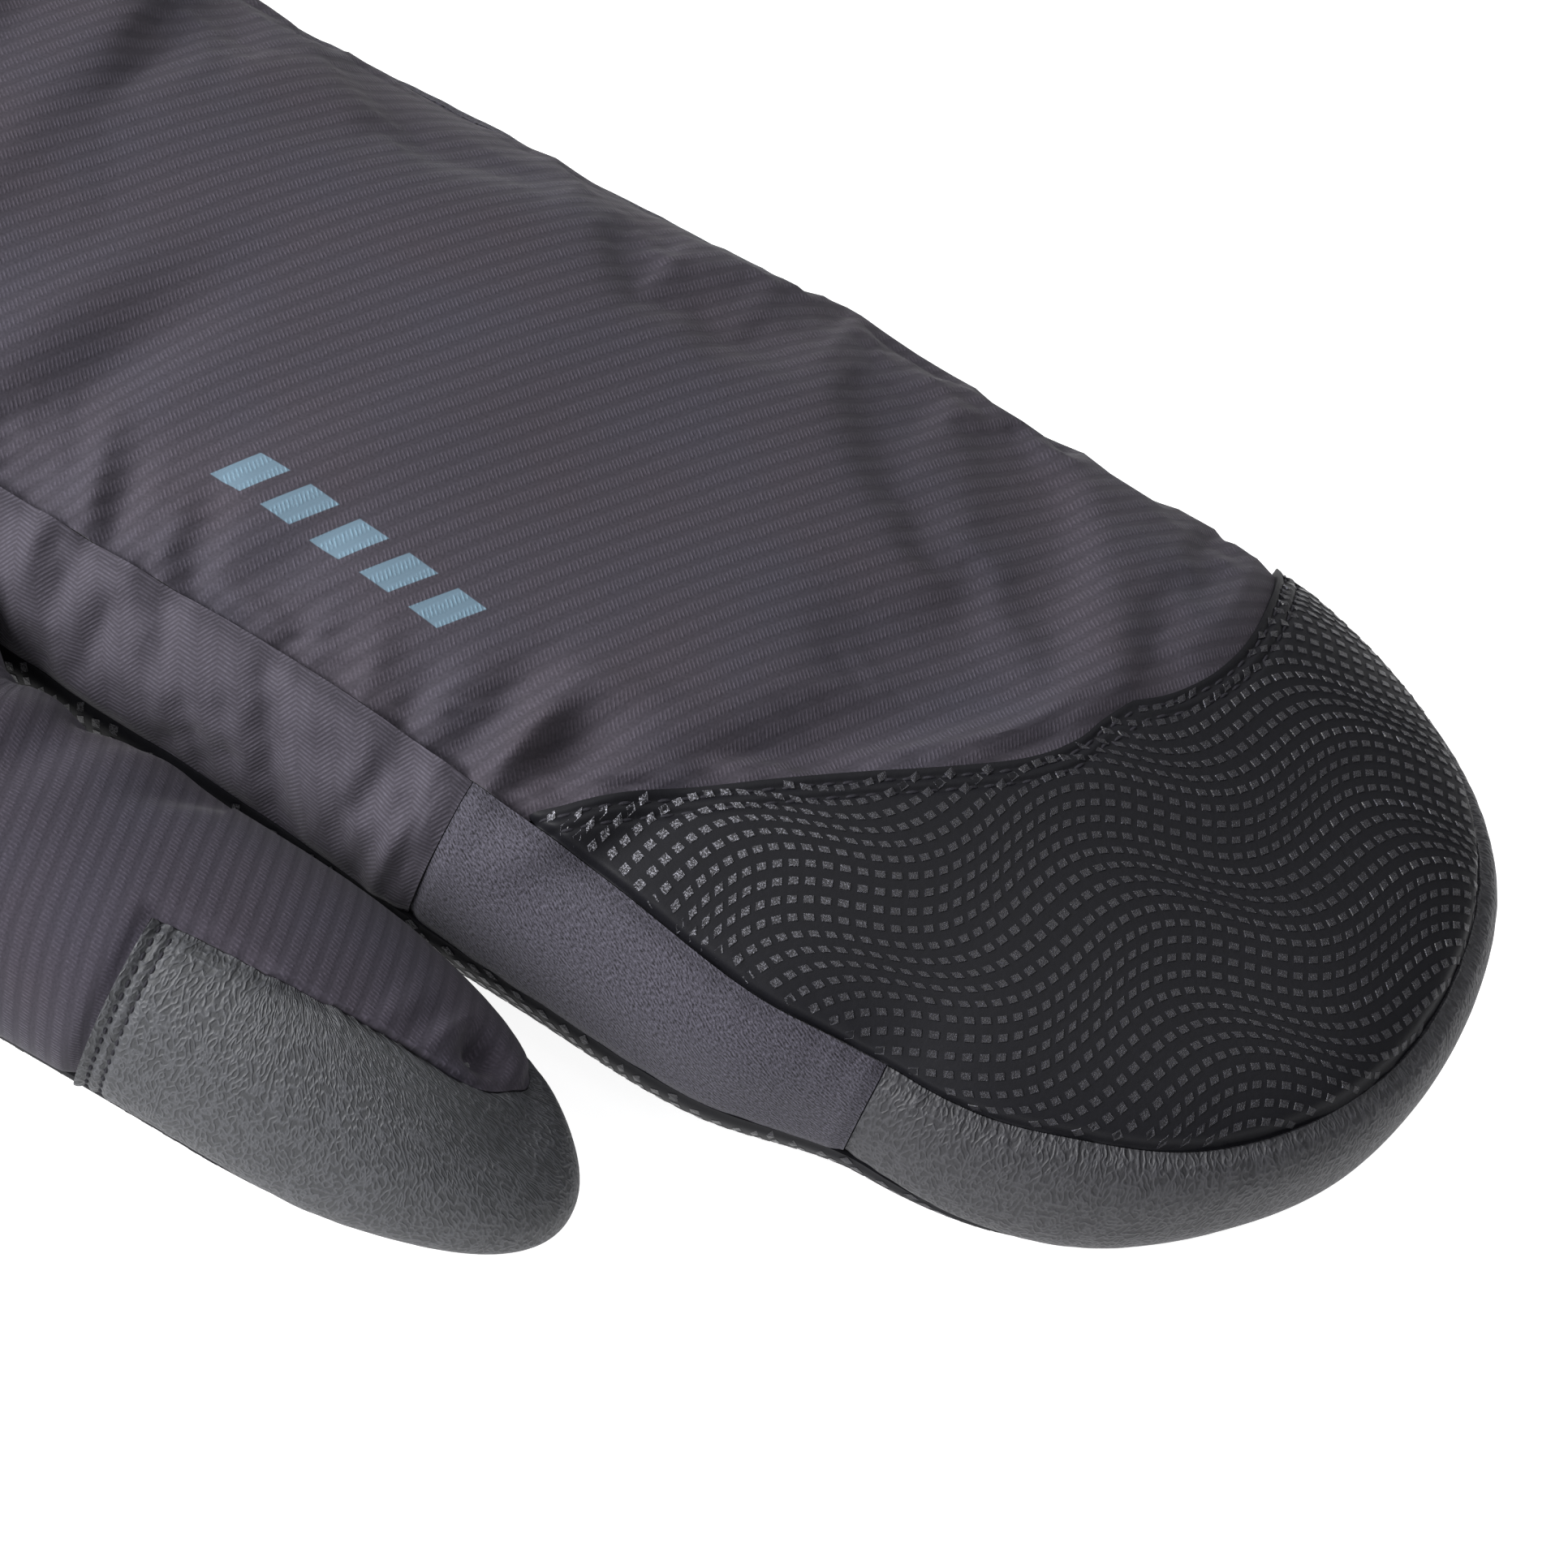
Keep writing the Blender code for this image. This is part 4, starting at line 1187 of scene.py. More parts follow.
@dataclass(frozen=True)
class RibbedSoftshell:
    """Polyester softshell, dobby-woven in ribs of short floats: matt, with paler floats over darker furrows.

    The floats lean across each rib, and each rib starts them at a place of its own.
    """

    name: str
    angle: float
    rib: float = 2.15
    rib_height: float = 0.03
    float_pitch: float = 0.54
    lean: float = -0.262
    furrow: str = "#28262b"
    floats: str = "#413e45"
    relief: float = 0.07
    grain: float = 0.34
    print_on: bool = False

    def make(self) -> bpy.types.Material:
        """Build the material.

        Returns:
            The woven cloth's material.
        """
        g = Graph(self.name)
        along, over = g.across(self.angle, bend=0.35)
        place = g.add("UVMap", uv_map=CLOTH_MAP)
        rib = g.share(g.wave(over, self.rib), ("MULTIPLY_ADD", 0.9, 0.65))
        row = g.work(over, ("DIVIDE", self.rib), ("ROUND",))
        chance = g.add("TexWhiteNoise", {"W": row}, noise_dimensions="1D")
        offset = g.work(chance, ("MULTIPLY", self.float_pitch))
        lean = g.work(over, ("MULTIPLY_ADD", self.lean, along), ("ADD", offset))
        thread = g.share(g.wave(lean, self.float_pitch), ("MULTIPLY_ADD", 0.75, 0.4))
        fray = g.add("TexNoise", {"Vector": place, "Scale": 1.6, "Detail": 3.0})
        lively = g.work(fray.outputs[0], ("MULTIPLY_ADD", 2.6, -0.75), ("MINIMUM", 1.0), ("MAXIMUM", 0.05))
        weave = g.work(thread, ("MULTIPLY", rib), ("MULTIPLY", lively))
        specks = g.add("TexNoise", {"Vector": place, "Scale": 2.9, "Detail": 1.0})
        specks = g.work(specks.outputs[0], ("MULTIPLY_ADD", 2.4 * self.grain, -1.2 * self.grain))
        paler = g.work(weave, ("MULTIPLY", 0.62))
        ground = g.work(rib, ("MULTIPLY_ADD", 0.07, 0.24), ("ADD", paler), ("ADD", specks))
        tints = g.add("TexNoise", {"Vector": place, "Scale": 0.05, "Detail": 3.0})
        tints = g.work(tints.outputs[0], ("MULTIPLY_ADD", 2.0, -0.5))
        tinted = g.blend(tints, (1.0, 0.93, 0.95, 1.0), (0.95, 0.97, 1.05, 1.0))
        colour = g.blend(ground, linear(self.furrow), linear(self.floats))
        colour = g.blend(1.0, colour, tinted, "MULTIPLY")
        rough = SOFTSHELL_ROUGHNESS
        if self.print_on:
            colour, rough = PRINT.over(g, colour, weave)
        height = g.work(weave, ("MULTIPLY", self.relief), ("ADD", g.work(rib, ("MULTIPLY", self.rib_height))))
        g.feed(g.shader, {"Base Color": colour, "Roughness": rough, "Normal": g.raise_by(height)})
        g.feed(g.shader, {"Sheen Weight": 0.04, "Sheen Roughness": 0.5, "Specular IOR Level": 0.16})
        return g.material


@dataclass(frozen=True)
class SlantedBars:
    """Screen-printed bars in matt ink: plain and generic, with the weave showing through.

    Lengths are in millimetres. fade is how fast the ink ends at a bar's edges, in shares per millimetre.
    """

    ink: str = "#5b7382"
    start: float = -61.0
    base: float = -29.3
    run: float = -7.0
    length: float = 34.5
    height: float = 5.8
    pitch: float = 7.1
    bar: float = 4.3
    slant: float = 0.55
    fade: float = 8.0

    def band(self, g: Graph, away: object, width: float) -> object:
        """Share of ink at a signed distance from the middle of a band of this width."""
        return g.share(away, ("ABSOLUTE",), ("MULTIPLY_ADD", -self.fade, 0.5 * self.fade * width))

    def over(self, g: Graph, cloth: object, weave: object) -> tuple:
        """Lay the ink over a cloth colour.

        Args:
            g: the cloth's node tree.
            cloth: the cloth's colour.
            weave: the weave's height between 0 and 1.

        Returns:
            Colour and roughness sockets.
        """
        place = g.add("UVMap", uv_map=CLOTH_MAP)
        moved = g.add("Mapping", {"Vector": place, "Location": (-self.start, -self.base, 0.0)})
        turned = g.add("Mapping", {"Vector": moved, "Rotation": (0.0, 0.0, -math.radians(self.run))})
        parts = g.add("SeparateXYZ", {0: turned})
        along, up = parts.outputs["X"], parts.outputs["Y"]
        lean = g.work(up, ("MULTIPLY", -self.slant), ("ADD", along))
        inside = self.band(g, up, self.height)
        phase = g.work(lean, ("DIVIDE", self.pitch), ("FRACT",), ("MULTIPLY", self.pitch))
        bars = self.band(g, g.work(phase, ("SUBTRACT", 0.5 * self.pitch)), self.bar)
        whole = g.work(lean, ("GREATER_THAN", 0.0))
        ended = g.work(lean, ("LESS_THAN", self.length))
        mask = g.work(inside, ("MULTIPLY", bars), ("MULTIPLY", whole), ("MULTIPLY", ended))
        worn_ink_and_unglinted_flakes = g.work(weave, ("MULTIPLY_ADD", 0.45, 0.62), ("MINIMUM", 1.0), ("MULTIPLY", mask))
        colour = g.blend(worn_ink_and_unglinted_flakes, cloth, linear(self.ink))
        rough = g.work(worn_ink_and_unglinted_flakes, ("MULTIPLY_ADD", -0.30, SOFTSHELL_ROUGHNESS))
        return colour, rough


PRINT = SlantedBars()


@dataclass(frozen=True)
class HerringboneSoftshell:
    """The same softshell cut another way, so that its floats zigzag in narrow columns, coloured lighter than
    the back's as painted light on the side wall that faces the lamps.
    """

    name: str
    angle: float
    column: float = 2.4
    float_pitch: float = 0.56
    slope: float = 0.62
    # Lighter than the back's softshell colours: painted light on the side wall
    furrow: str = "#2f2c33"
    floats: str = "#514e58"
    relief: float = 0.09

    def make(self) -> bpy.types.Material:
        """Build the material.

        Returns:
            The zigzag cloth's material.
        """
        g = Graph(self.name)
        along, over = g.across(self.angle, bend=0.3)
        fold = g.work(over, ("PINGPONG", self.column), ("MULTIPLY_ADD", self.slope, along))
        thread = g.work(g.wave(fold, self.float_pitch), ("MULTIPLY_ADD", 0.5, 0.5))
        edge = g.work(g.wave(over, self.column), ("MULTIPLY_ADD", -0.13, 0.80))
        fray = g.add("TexNoise", {"Vector": g.add("UVMap", uv_map=CLOTH_MAP), "Scale": 2.0, "Detail": 3.0})
        lively = g.work(fray.outputs[0], ("MULTIPLY_ADD", 1.4, -0.2))
        weave = g.work(thread, ("MULTIPLY", edge), ("MULTIPLY", lively))
        colour = g.blend(weave, linear(self.furrow), linear(self.floats))
        normal = g.raise_by(weave, self.relief)
        g.feed(g.shader, {"Base Color": colour, "Roughness": SOFTSHELL_ROUGHNESS, "Normal": normal})
        g.feed(g.shader, {"Sheen Weight": 0.05, "Sheen Roughness": 0.5, "Specular IOR Level": 0.18})
        return g.material


@dataclass(frozen=True)
class CrepeStretch:
    """Four-way stretch nylon with a crepe face: a fine, matt pebble of broken floats."""

    name: str
    angle: float
    pebble: float = 0.24
    stretch: float = 1.9
    furrow: str = "#161519"
    floats: str = "#4a4852"
    relief: float = 0.08

    def make(self) -> bpy.types.Material:
        """Build the material.

        Returns:
            The stretch cloth's material.
        """
        g = Graph(self.name)
        along, over = g.across(self.angle, bend=0.5, bend_size=12.0)
        place = g.add("CombineXYZ", {0: g.work(along, ("DIVIDE", self.stretch)), 1: over})
        size = 1.0 / self.pebble
        grain = g.add("TexNoise", {"Vector": place, "Scale": size, "Detail": 2.0, "Roughness": 0.6})
        thread = g.work(g.wave(over, 1.6 * self.pebble), ("MULTIPLY", 0.12))
        weave = g.work(grain.outputs[0], ("MULTIPLY_ADD", 2.6, -0.8), ("ADD", thread))
        colour = g.blend(g.share(weave), linear(self.furrow), linear(self.floats))
        normal = g.raise_by(weave, self.relief)
        g.feed(g.shader, {"Base Color": colour, "Roughness": 0.84, "Normal": normal})
        g.feed(g.shader, {"Sheen Weight": 0.05, "Sheen Roughness": 0.5, "Specular IOR Level": 0.18})
        return g.material


@dataclass(frozen=True)
class GripCloth:
    """Polyurethane-faced grip cloth: near black and smooth, with a faint sheen."""

    name: str
    ground: str = "#09090c"
    lift: str = "#101015"

    def make(self) -> bpy.types.Material:
        """Build the material.

        Returns:
            The grip cloth's material.
        """
        g = Graph(self.name)
        place = g.add("UVMap", uv_map=CLOTH_MAP)
        skin = g.add("TexNoise", {"Vector": place, "Scale": 1.1, "Detail": 5.0, "Roughness": 0.6})
        colour = g.blend(skin.outputs[0], linear(self.ground), linear(self.lift))
        normal = g.raise_by(skin.outputs[0], 0.05)
        g.feed(g.shader, {"Base Color": colour, "Roughness": 0.58, "Normal": normal})
        g.feed(g.shader, {"IOR": 1.46, "Specular IOR Level": 0.17})
        return g.material


@dataclass(frozen=True)
class FlakedSilicone:
    """Silicone print filled with metal flake: fine flecks, with a painted glint that makes them bright at the
    thumb-side corner and dull elsewhere.

    along and across give the painted glint's brightness as a slope over the cloth coordinate and a level where
    it is 0.
    """

    name: str
    base: str = "#131216"
    # Flecks away from the painted glint, then the painted glint's colour at the thumb-side corner
    worn_ink_and_unglinted_flakes: str = "#38383e"
    painted_glint_flakes: str = "#8c8c94"
    share: float = 0.46
    along: tuple = (-0.030, 1.05)
    across: tuple = (-0.060, -1.25)

    def make(self) -> bpy.types.Material:
        """Build the material.

        Returns:
            The dots' material.
        """
        g = Graph(self.name)
        place = g.add("UVMap", uv_map=CLOTH_MAP)
        speckle = g.add("TexNoise", {"Vector": place, "Scale": 3.6, "Detail": 2.0, "Roughness": 0.7})
        flake = g.share(speckle.outputs[0], ("SUBTRACT", 1.0 - self.share), ("MULTIPLY_ADD", 7.0, 0.5))
        sides = g.add("SeparateXYZ", {"Vector": place})
        # Painted glint: the flecks brighten toward the thumb-side corner of the cloth coordinates
        behind = g.share(sides.outputs[0], ("MULTIPLY_ADD", *self.along))
        beside = g.share(sides.outputs[1], ("MULTIPLY_ADD", *self.across))
        flakes_with_painted_glint = g.blend(g.work(behind, ("MULTIPLY", beside)), linear(self.worn_ink_and_unglinted_flakes), linear(self.painted_glint_flakes))
        colour = g.blend(flake, linear(self.base), flakes_with_painted_glint)
        metal = g.work(flake, ("MULTIPLY", 0.75))
        g.feed(g.shader, {"Base Color": colour, "Metallic": metal, "Normal": g.raise_by(flake, 0.05)})
        g.feed(g.shader, {"Roughness": 0.36, "IOR": 1.46, "Specular IOR Level": 0.4})
        return g.material


@dataclass(frozen=True)
class GrainLeather:
    """Goat leather, drum-dyed and finished dull: meandering grain ridges, drawn into creases at its seam."""

    name: str
    hide: str = "#343438"
    furrow: str = "#1f1f22"
    pebble: float = 0.74
    relief: float = 0.13
    crease: float = 0.9
    crease_reach: float = 4.0

    def make(self) -> bpy.types.Material:
        """Build the material.

        Returns:
            The leather's material.
        """
        g = Graph(self.name)
        along, down = g.across(0.0, bend=0.5, bend_size=9.0)
        place = g.add("CombineXYZ", {0: along, 1: g.work(down, ("MULTIPLY", 0.58))})
        size = 1.0 / self.pebble
        wide = g.add("TexNoise", {"Vector": place, "Scale": size, "Detail": 0.5})
        fine = g.add("TexNoise", {"Vector": place, "Scale": 3.2 * size, "Detail": 3.0, "Roughness": 0.6})
        ridge = g.work(wide.outputs[0], ("SUBTRACT", 0.5), ("ABSOLUTE",))
        ridge = g.work(ridge, ("MULTIPLY_ADD", -6.5, 1.0), ("MAXIMUM", 0.0))
        pulled = g.add("CombineXYZ", {0: along, 1: g.work(down, ("MULTIPLY", 0.2))})
        creases = g.add("TexNoise", {"Vector": pulled, "Scale": 1.0 / self.crease, "Detail": 1.0})
        near_seam = g.work(down, ("DIVIDE", -self.crease_reach), ("EXPONENT",), ("MINIMUM", 1.0))
        grain = g.work(fine.outputs[0], ("MULTIPLY_ADD", 0.45, -0.12), ("ADD", ridge))
        drawn = g.work(creases.outputs[0], ("MULTIPLY_ADD", 4.0, -2.0), ("MULTIPLY", near_seam))
        # The creases near the seam are coloured lighter on their ridges and darker in their furrows: painted
        # highlight and painted shade
        shade = g.share(grain, ("MULTIPLY_ADD", 0.62, 0.10), ("ADD", g.work(drawn, ("MULTIPLY", 0.25))))
        colour = g.blend(shade, linear(self.furrow), linear(self.hide))
        rough = g.work(shade, ("MULTIPLY_ADD", -0.12, 0.62))
        normal = g.raise_by(g.work(drawn, ("ADD", grain)), self.relief)
        g.feed(g.shader, {"Base Color": colour, "Roughness": rough, "Normal": normal})
        g.feed(g.shader, {"IOR": 1.48, "Specular IOR Level": 0.34})
        return g.material


@dataclass(frozen=True)
class BrushedLining:
    """Brushed polyester fleece on the inside: dark, with a soft nap and no gloss."""

    name: str = "brushed_polyester_lining"
    nap: str = "#1d1c20"
    tips: str = "#34323a"

    def make(self) -> bpy.types.Material:
        """Build the material.

        Returns:
            The lining's material.
        """
        g = Graph(self.name)
        place = g.add("UVMap", uv_map=CLOTH_MAP)
        tufts = g.add("TexNoise", {"Vector": place, "Scale": 0.8, "Detail": 6.0, "Roughness": 0.7})
        colour = g.blend(tufts.outputs[0], linear(self.nap), linear(self.tips))
        normal = g.raise_by(tufts.outputs[0], 0.5)
        g.feed(g.shader, {"Base Color": colour, "Roughness": 0.95, "Normal": normal})
        g.feed(g.shader, {"Sheen Weight": 0.25, "Sheen Roughness": 0.6})
        return g.material


@dataclass(frozen=True)
class BondedThread:
    """Bonded nylon sewing thread, two-ply: dull, with a faint twist."""

    name: str = "black_bonded_thread"
    dye: str = "#0e0e11"
    lit: str = "#2c2b31"

    def make(self) -> bpy.types.Material:
        """Build the material.

        Returns:
            The thread's material.
        """
        g = Graph(self.name)
        place = g.add("TexCoord").outputs["Object"]
        twist = g.add("TexNoise", {"Vector": place, "Scale": 4000.0, "Detail": 1.0})
        colour = g.blend(twist.outputs[0], linear(self.dye), linear(self.lit))
        normal = g.raise_by(twist.outputs[0], 0.05)
        g.feed(g.shader, {"Base Color": colour, "Roughness": 0.7, "Normal": normal})
        g.feed(g.shader, {"Specular IOR Level": 0.12})
        return g.material


def made_by(finish: object) -> object:
    """A field whose value is the finish's material, made when the wardrobe is."""
    return field(default_factory=finish.make)


@dataclass
class Wardrobe:
    """Every finish of the mitten, made once."""

    lining: bpy.types.Material = made_by(BrushedLining())
    back: bpy.types.Material = made_by(RibbedSoftshell("dobby_softshell_back", 59.0, print_on=True))
    side: bpy.types.Material = made_by(HerringboneSoftshell("herringbone_softshell_side", 61.0))
    front: bpy.types.Material = made_by(CrepeStretch("crepe_stretch_side", 24.0))
    grip: bpy.types.Material = made_by(GripCloth("polyurethane_grip_cloth"))
    dots: bpy.types.Material = made_by(FlakedSilicone("flaked_silicone_print"))
    # The palm's flecks get a weaker painted glint
    palm_dots: bpy.types.Material = made_by(FlakedSilicone("flaked_silicone_palm_print", painted_glint_flakes="#4a4a50"))
    band: bpy.types.Material = made_by(GrainLeather("grain_leather_band"))
    thumb_leather: bpy.types.Material = made_by(GrainLeather("grain_leather_thumb", "#3e3f43", "#27282a"))
    # Darker colours than the back's copy of this softshell: painted shade on the thumb's wrinkled cloth
    thumb: bpy.types.Material = made_by(
        RibbedSoftshell("dobby_softshell_thumb", 100.0, furrow="#222026", floats="#3b3840")
    )
    cuff: bpy.types.Material = made_by(RibbedSoftshell("dobby_softshell_cuff", 56.0))
    thread: bpy.types.Material = made_by(BondedThread())


def dress(piece: bpy.types.Object, node: str | None) -> None:
    """Put a piece on the frame and report it.

    Args:
        piece: the piece.
        node: CAD node that it stands for, if it does.
    """
    if node:
        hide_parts(node)
    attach(piece, "root")
    log.info("%s: %d faces", piece.name, len(piece.data.polygons))


@dataclass
class Stitches:
    """A row of lockstitches, each a short thread that dives into the cloth at both ends."""

    length: float = 1.85 * MM
    pitch: float = 2.5 * MM
    radius: float = 0.23 * MM
    sides: int = 6
    rings: int = 6
    points: list = field(default_factory=list)
    faces: list = field(default_factory=list)

    def row(self, line: Array, normals: Array, shift: float = 0.0) -> None:
        """Sew along a line.

        Args:
            line: points on the cloth.
            normals: outward normals there.
            shift: where the first stitch starts.
        """
        run = arc_length(line)
        for begin in np.arange(shift + 0.4 * MM, run[-1] - self.length, self.pitch):
            share = np.linspace(0.0, 1.0, self.rings)
            at = begin + share * self.length
            middle = np.stack([np.interp(at, run, line[:, k]) for k in range(3)], -1)
            out = np.stack([np.interp(at, run, normals[:, k]) for k in range(3)], -1)
            out /= np.linalg.norm(out, axis=1, keepdims=True)
            ahead = np.gradient(middle, axis=0)
            ahead /= np.linalg.norm(ahead, axis=1, keepdims=True)
            beside = np.cross(ahead, out)
            bow = np.sin(math.pi * share)
            middle = middle + out * ((0.75 * bow - 0.55) * self.radius)[:, None]
            thick = self.radius * (0.45 + 0.55 * np.sqrt(bow))
            angles = np.linspace(0.0, 2.0 * math.pi, self.sides, endpoint=False)
            c, s = np.cos(angles)[None, :, None], np.sin(angles)[None, :, None]
            ring = c * out[:, None] + s * beside[:, None]
            made = middle[:, None] + ring * thick[:, None, None]
            first = sum(len(p) for p in self.points)
            self.points.append(made.reshape(-1, 3))
            at_ring = first + np.arange(self.rings * self.sides).reshape(self.rings, self.sides)
            nxt = np.roll(at_ring, -1, axis=1)
            quads = np.stack([at_ring[:-1], at_ring[1:], nxt[1:], nxt[:-1]], -1).reshape(-1, 4)
            self.faces += quads.tolist()
            self.faces += [at_ring[0].tolist(), at_ring[-1][::-1].tolist()]

    def build(self, name: str, finish: bpy.types.Material) -> bpy.types.Object:
        """Join every stitch into one piece.

        Args:
            name: the piece's name.
            finish: the thread.

        Returns:
            The stitches' object.
        """
        mesh = bpy.data.meshes.new(name)
        mesh.from_pydata(np.concatenate(self.points).tolist(), [], self.faces)
        mesh.shade_smooth()
        return link(mesh, name, [finish])


@dataclass(frozen=True)
class GripDots:
    """Raised print dots on a grip cloth: a lattice of small parallelograms that is bent into waves.

    Lengths along the cloth are in millimetres, as the cloth coordinates are.
    """

    along: float = 1.92
    between: float = 2.14
    run: float = 50.0
    size: tuple = (1.22, 1.00)
    wave: float = 3.2
    wave_length: float = 41.0
    crest_run: float = -30.0
    crest_at: float = 12.0
    sway: float = 1.5
    sway_length: float = 20.0
    sway_at: float = -46.0
    height: float = 0.12 * MM
    taper: float = 0.86
    margin: float = 0.9 * MM

    def bent(self, x: Array, y: Array) -> Array:
        """Bend places of the straight lattice.

        Args:
            x: along its rows.
            y: across its rows.

        Returns:
            Cloth coordinates, with a last axis of three.
        """
        c, s = math.cos(math.radians(self.run)), math.sin(math.radians(self.run))
        ahead = math.radians(self.crest_run + 90.0)
        phase = (c * x - s * y) * math.cos(ahead) + (s * x + c * y) * math.sin(ahead)
        x2 = x + self.sway * np.sin(2 * math.pi * (y - self.sway_at) / self.sway_length)
        y2 = y + self.wave * np.cos(2 * math.pi * (phase - self.crest_at) / self.wave_length)
        return np.stack([c * x2 - s * y2, s * x2 + c * y2, np.zeros_like(x)], -1)

    def lattice(self, flat: Array) -> tuple[Array, Array]:
        """Find the dots that may lie on a panel.

        Args:
            flat: the panel's cloth coordinates, with a last axis of three.

        Returns:
            Their middles, and the four corners of each.
        """
        reach = 1.3 * np.abs(flat).max() + self.wave_length
        i = np.arange(-reach, reach, self.along)
        j = np.arange(-reach, reach, self.between)
        x, y = (k.ravel() for k in np.meshgrid(i, j, indexing="ij"))
        middles = self.bent(x, y)
        low, high = flat.min(0), flat.max(0)
        inside = np.all((middles[:, :2] > low[:2]) & (middles[:, :2] < high[:2]), axis=1)
        signs = ((-0.5, -0.5), (0.5, -0.5), (0.5, 0.5), (-0.5, 0.5))
        corners = np.stack([self.bent(x + p * self.size[0], y + q * self.size[1]) for p, q in signs], 1)
        return middles[inside], corners[inside]

    def lay(
        self, sheet: Sheet, name: str, finish: bpy.types.Material, host: bpy.types.Object
    ) -> bpy.types.Object:
        """Print the dots on a panel.

        Args:
            sheet: the panel's sheet.
            name: the piece's name.
            finish: the dots' material.
            host: the finished panel, which may have an opening.

        Returns:
            The dots' object.
        """
        cloth = sheet.cloth()
        points = sheet.outer()
        m, n = points.shape[:2]
        at = np.arange(m * n).reshape(m, n)
        half = [at[:-1, :-1], at[1:, :-1], at[1:, 1:]], [at[:-1, :-1], at[1:, 1:], at[:-1, 1:]]
        faces = np.concatenate([np.stack([k.ravel() for k in three], -1) for three in half])
        flat = np.concatenate([cloth.reshape(-1, 2), np.zeros((m * n, 1))], -1)
        solid = points.reshape(-1, 3)
        tree = BVHTree.FromPolygons(flat.tolist(), faces.tolist())
        sides = [polygon.vertices for polygon in host.data.polygons]
        panel = BVHTree.FromPolygons([vertex.co for vertex in host.data.vertices], sides)
        edge = np.minimum.reduce([np.broadcast_to(away, (m, n)) for away in sheet.away.values()]).ravel()
        made, maps, quads = [], [], []
        for middle, corners in zip(*self.lattice(flat)):
            spots = [middle, *corners]
            found = [tree.find_nearest(Vector(spot), 0.5) for spot in spots]
            pairs = zip(found, spots)
            if any(hit[0] is None or (hit[0] - Vector(spot)).length > 0.02 for hit, spot in pairs):
                continue
            if edge[faces[found[0][2]]].max() < self.margin:
                continue
            lifted = []
            for hit in found:
                three = [int(v) for v in faces[hit[2]]]
                ends = [Vector(flat[v]) for v in three] + [Vector(solid[v]) for v in three]
                lifted.append(barycentric_transform(hit[0], *ends))
            out = (lifted[3] - lifted[1]).cross(lifted[4] - lifted[2]).normalized()
            held = panel.ray_cast(lifted[0] + out * MM, -out, 3 * MM)
            if held[0] is None:
                continue
            first = len(made)
            made += [p - out * 0.06 * MM for p in lifted[1:]]
            made += [lifted[0].lerp(p, self.taper) + out * self.height for p in lifted[1:]]
            maps += [spot[:2] for spot in spots[1:]] * 2
            ring = [(0, 1, 5, 4), (1, 2, 6, 5), (2, 3, 7, 6), (3, 0, 4, 7), (4, 5, 6, 7), (3, 2, 1, 0)]
            quads += [tuple(first + v for v in quad) for quad in ring]
        mesh = bpy.data.meshes.new(name)
        mesh.from_pydata(made, [], quads)
        layer = mesh.uv_layers.new(name=CLOTH_MAP)
        layer.data.foreach_set("uv", np.array(maps)[np.array(quads).ravel()].astype(np.float32).ravel())
        return link(mesh, name, [finish])


def cap_corner_turns() -> tuple[float, float]:
    """Turns of the near and the far corner of the cap's rear seam."""
    near = HAND.turn_at(FINGERTIPS - CAP_LINE[0][1] * TIP_REACH, True)
    far_station = FINGERTIPS - CAP_LINE[-1][1] * TIP_REACH
    turns = np.linspace(0.0, HALF_TURN, 400)
    along, _ = HAND.flat(turns, HAND.seam(BACK_SEAM, turns))
    return float(near), float(turns[int(np.argmin(np.abs(along - far_station)))])


def cap_line(shares: Array, shift: float) -> Array:
    """The cap's rear seam in the open plan.

    Args:
        shares: shares of its length, near corner to far corner.
        shift: how far it is moved toward the fingertips.

    Returns:
        Rows of (along, across).
    """
    near, far = cap_corner_turns()
    a = plan_curve(HAND, near, HAND.seam(BACK_SEAM, near))
    b = plan_curve(HAND, far, HAND.seam(BACK_SEAM, far))
    q = np.linspace(0.0, 1.0, 400)
    along = FINGERTIPS - through(column(CAP_LINE, 0), column(CAP_LINE, 1), q) * TIP_REACH
    ends = (along - along[0] - q * (along[-1] - along[0])) + a[0] + q * (b[0] - a[0])
    return spaced(np.stack([ends + shift, a[1] + q * (b[1] - a[1])], -1), shares)


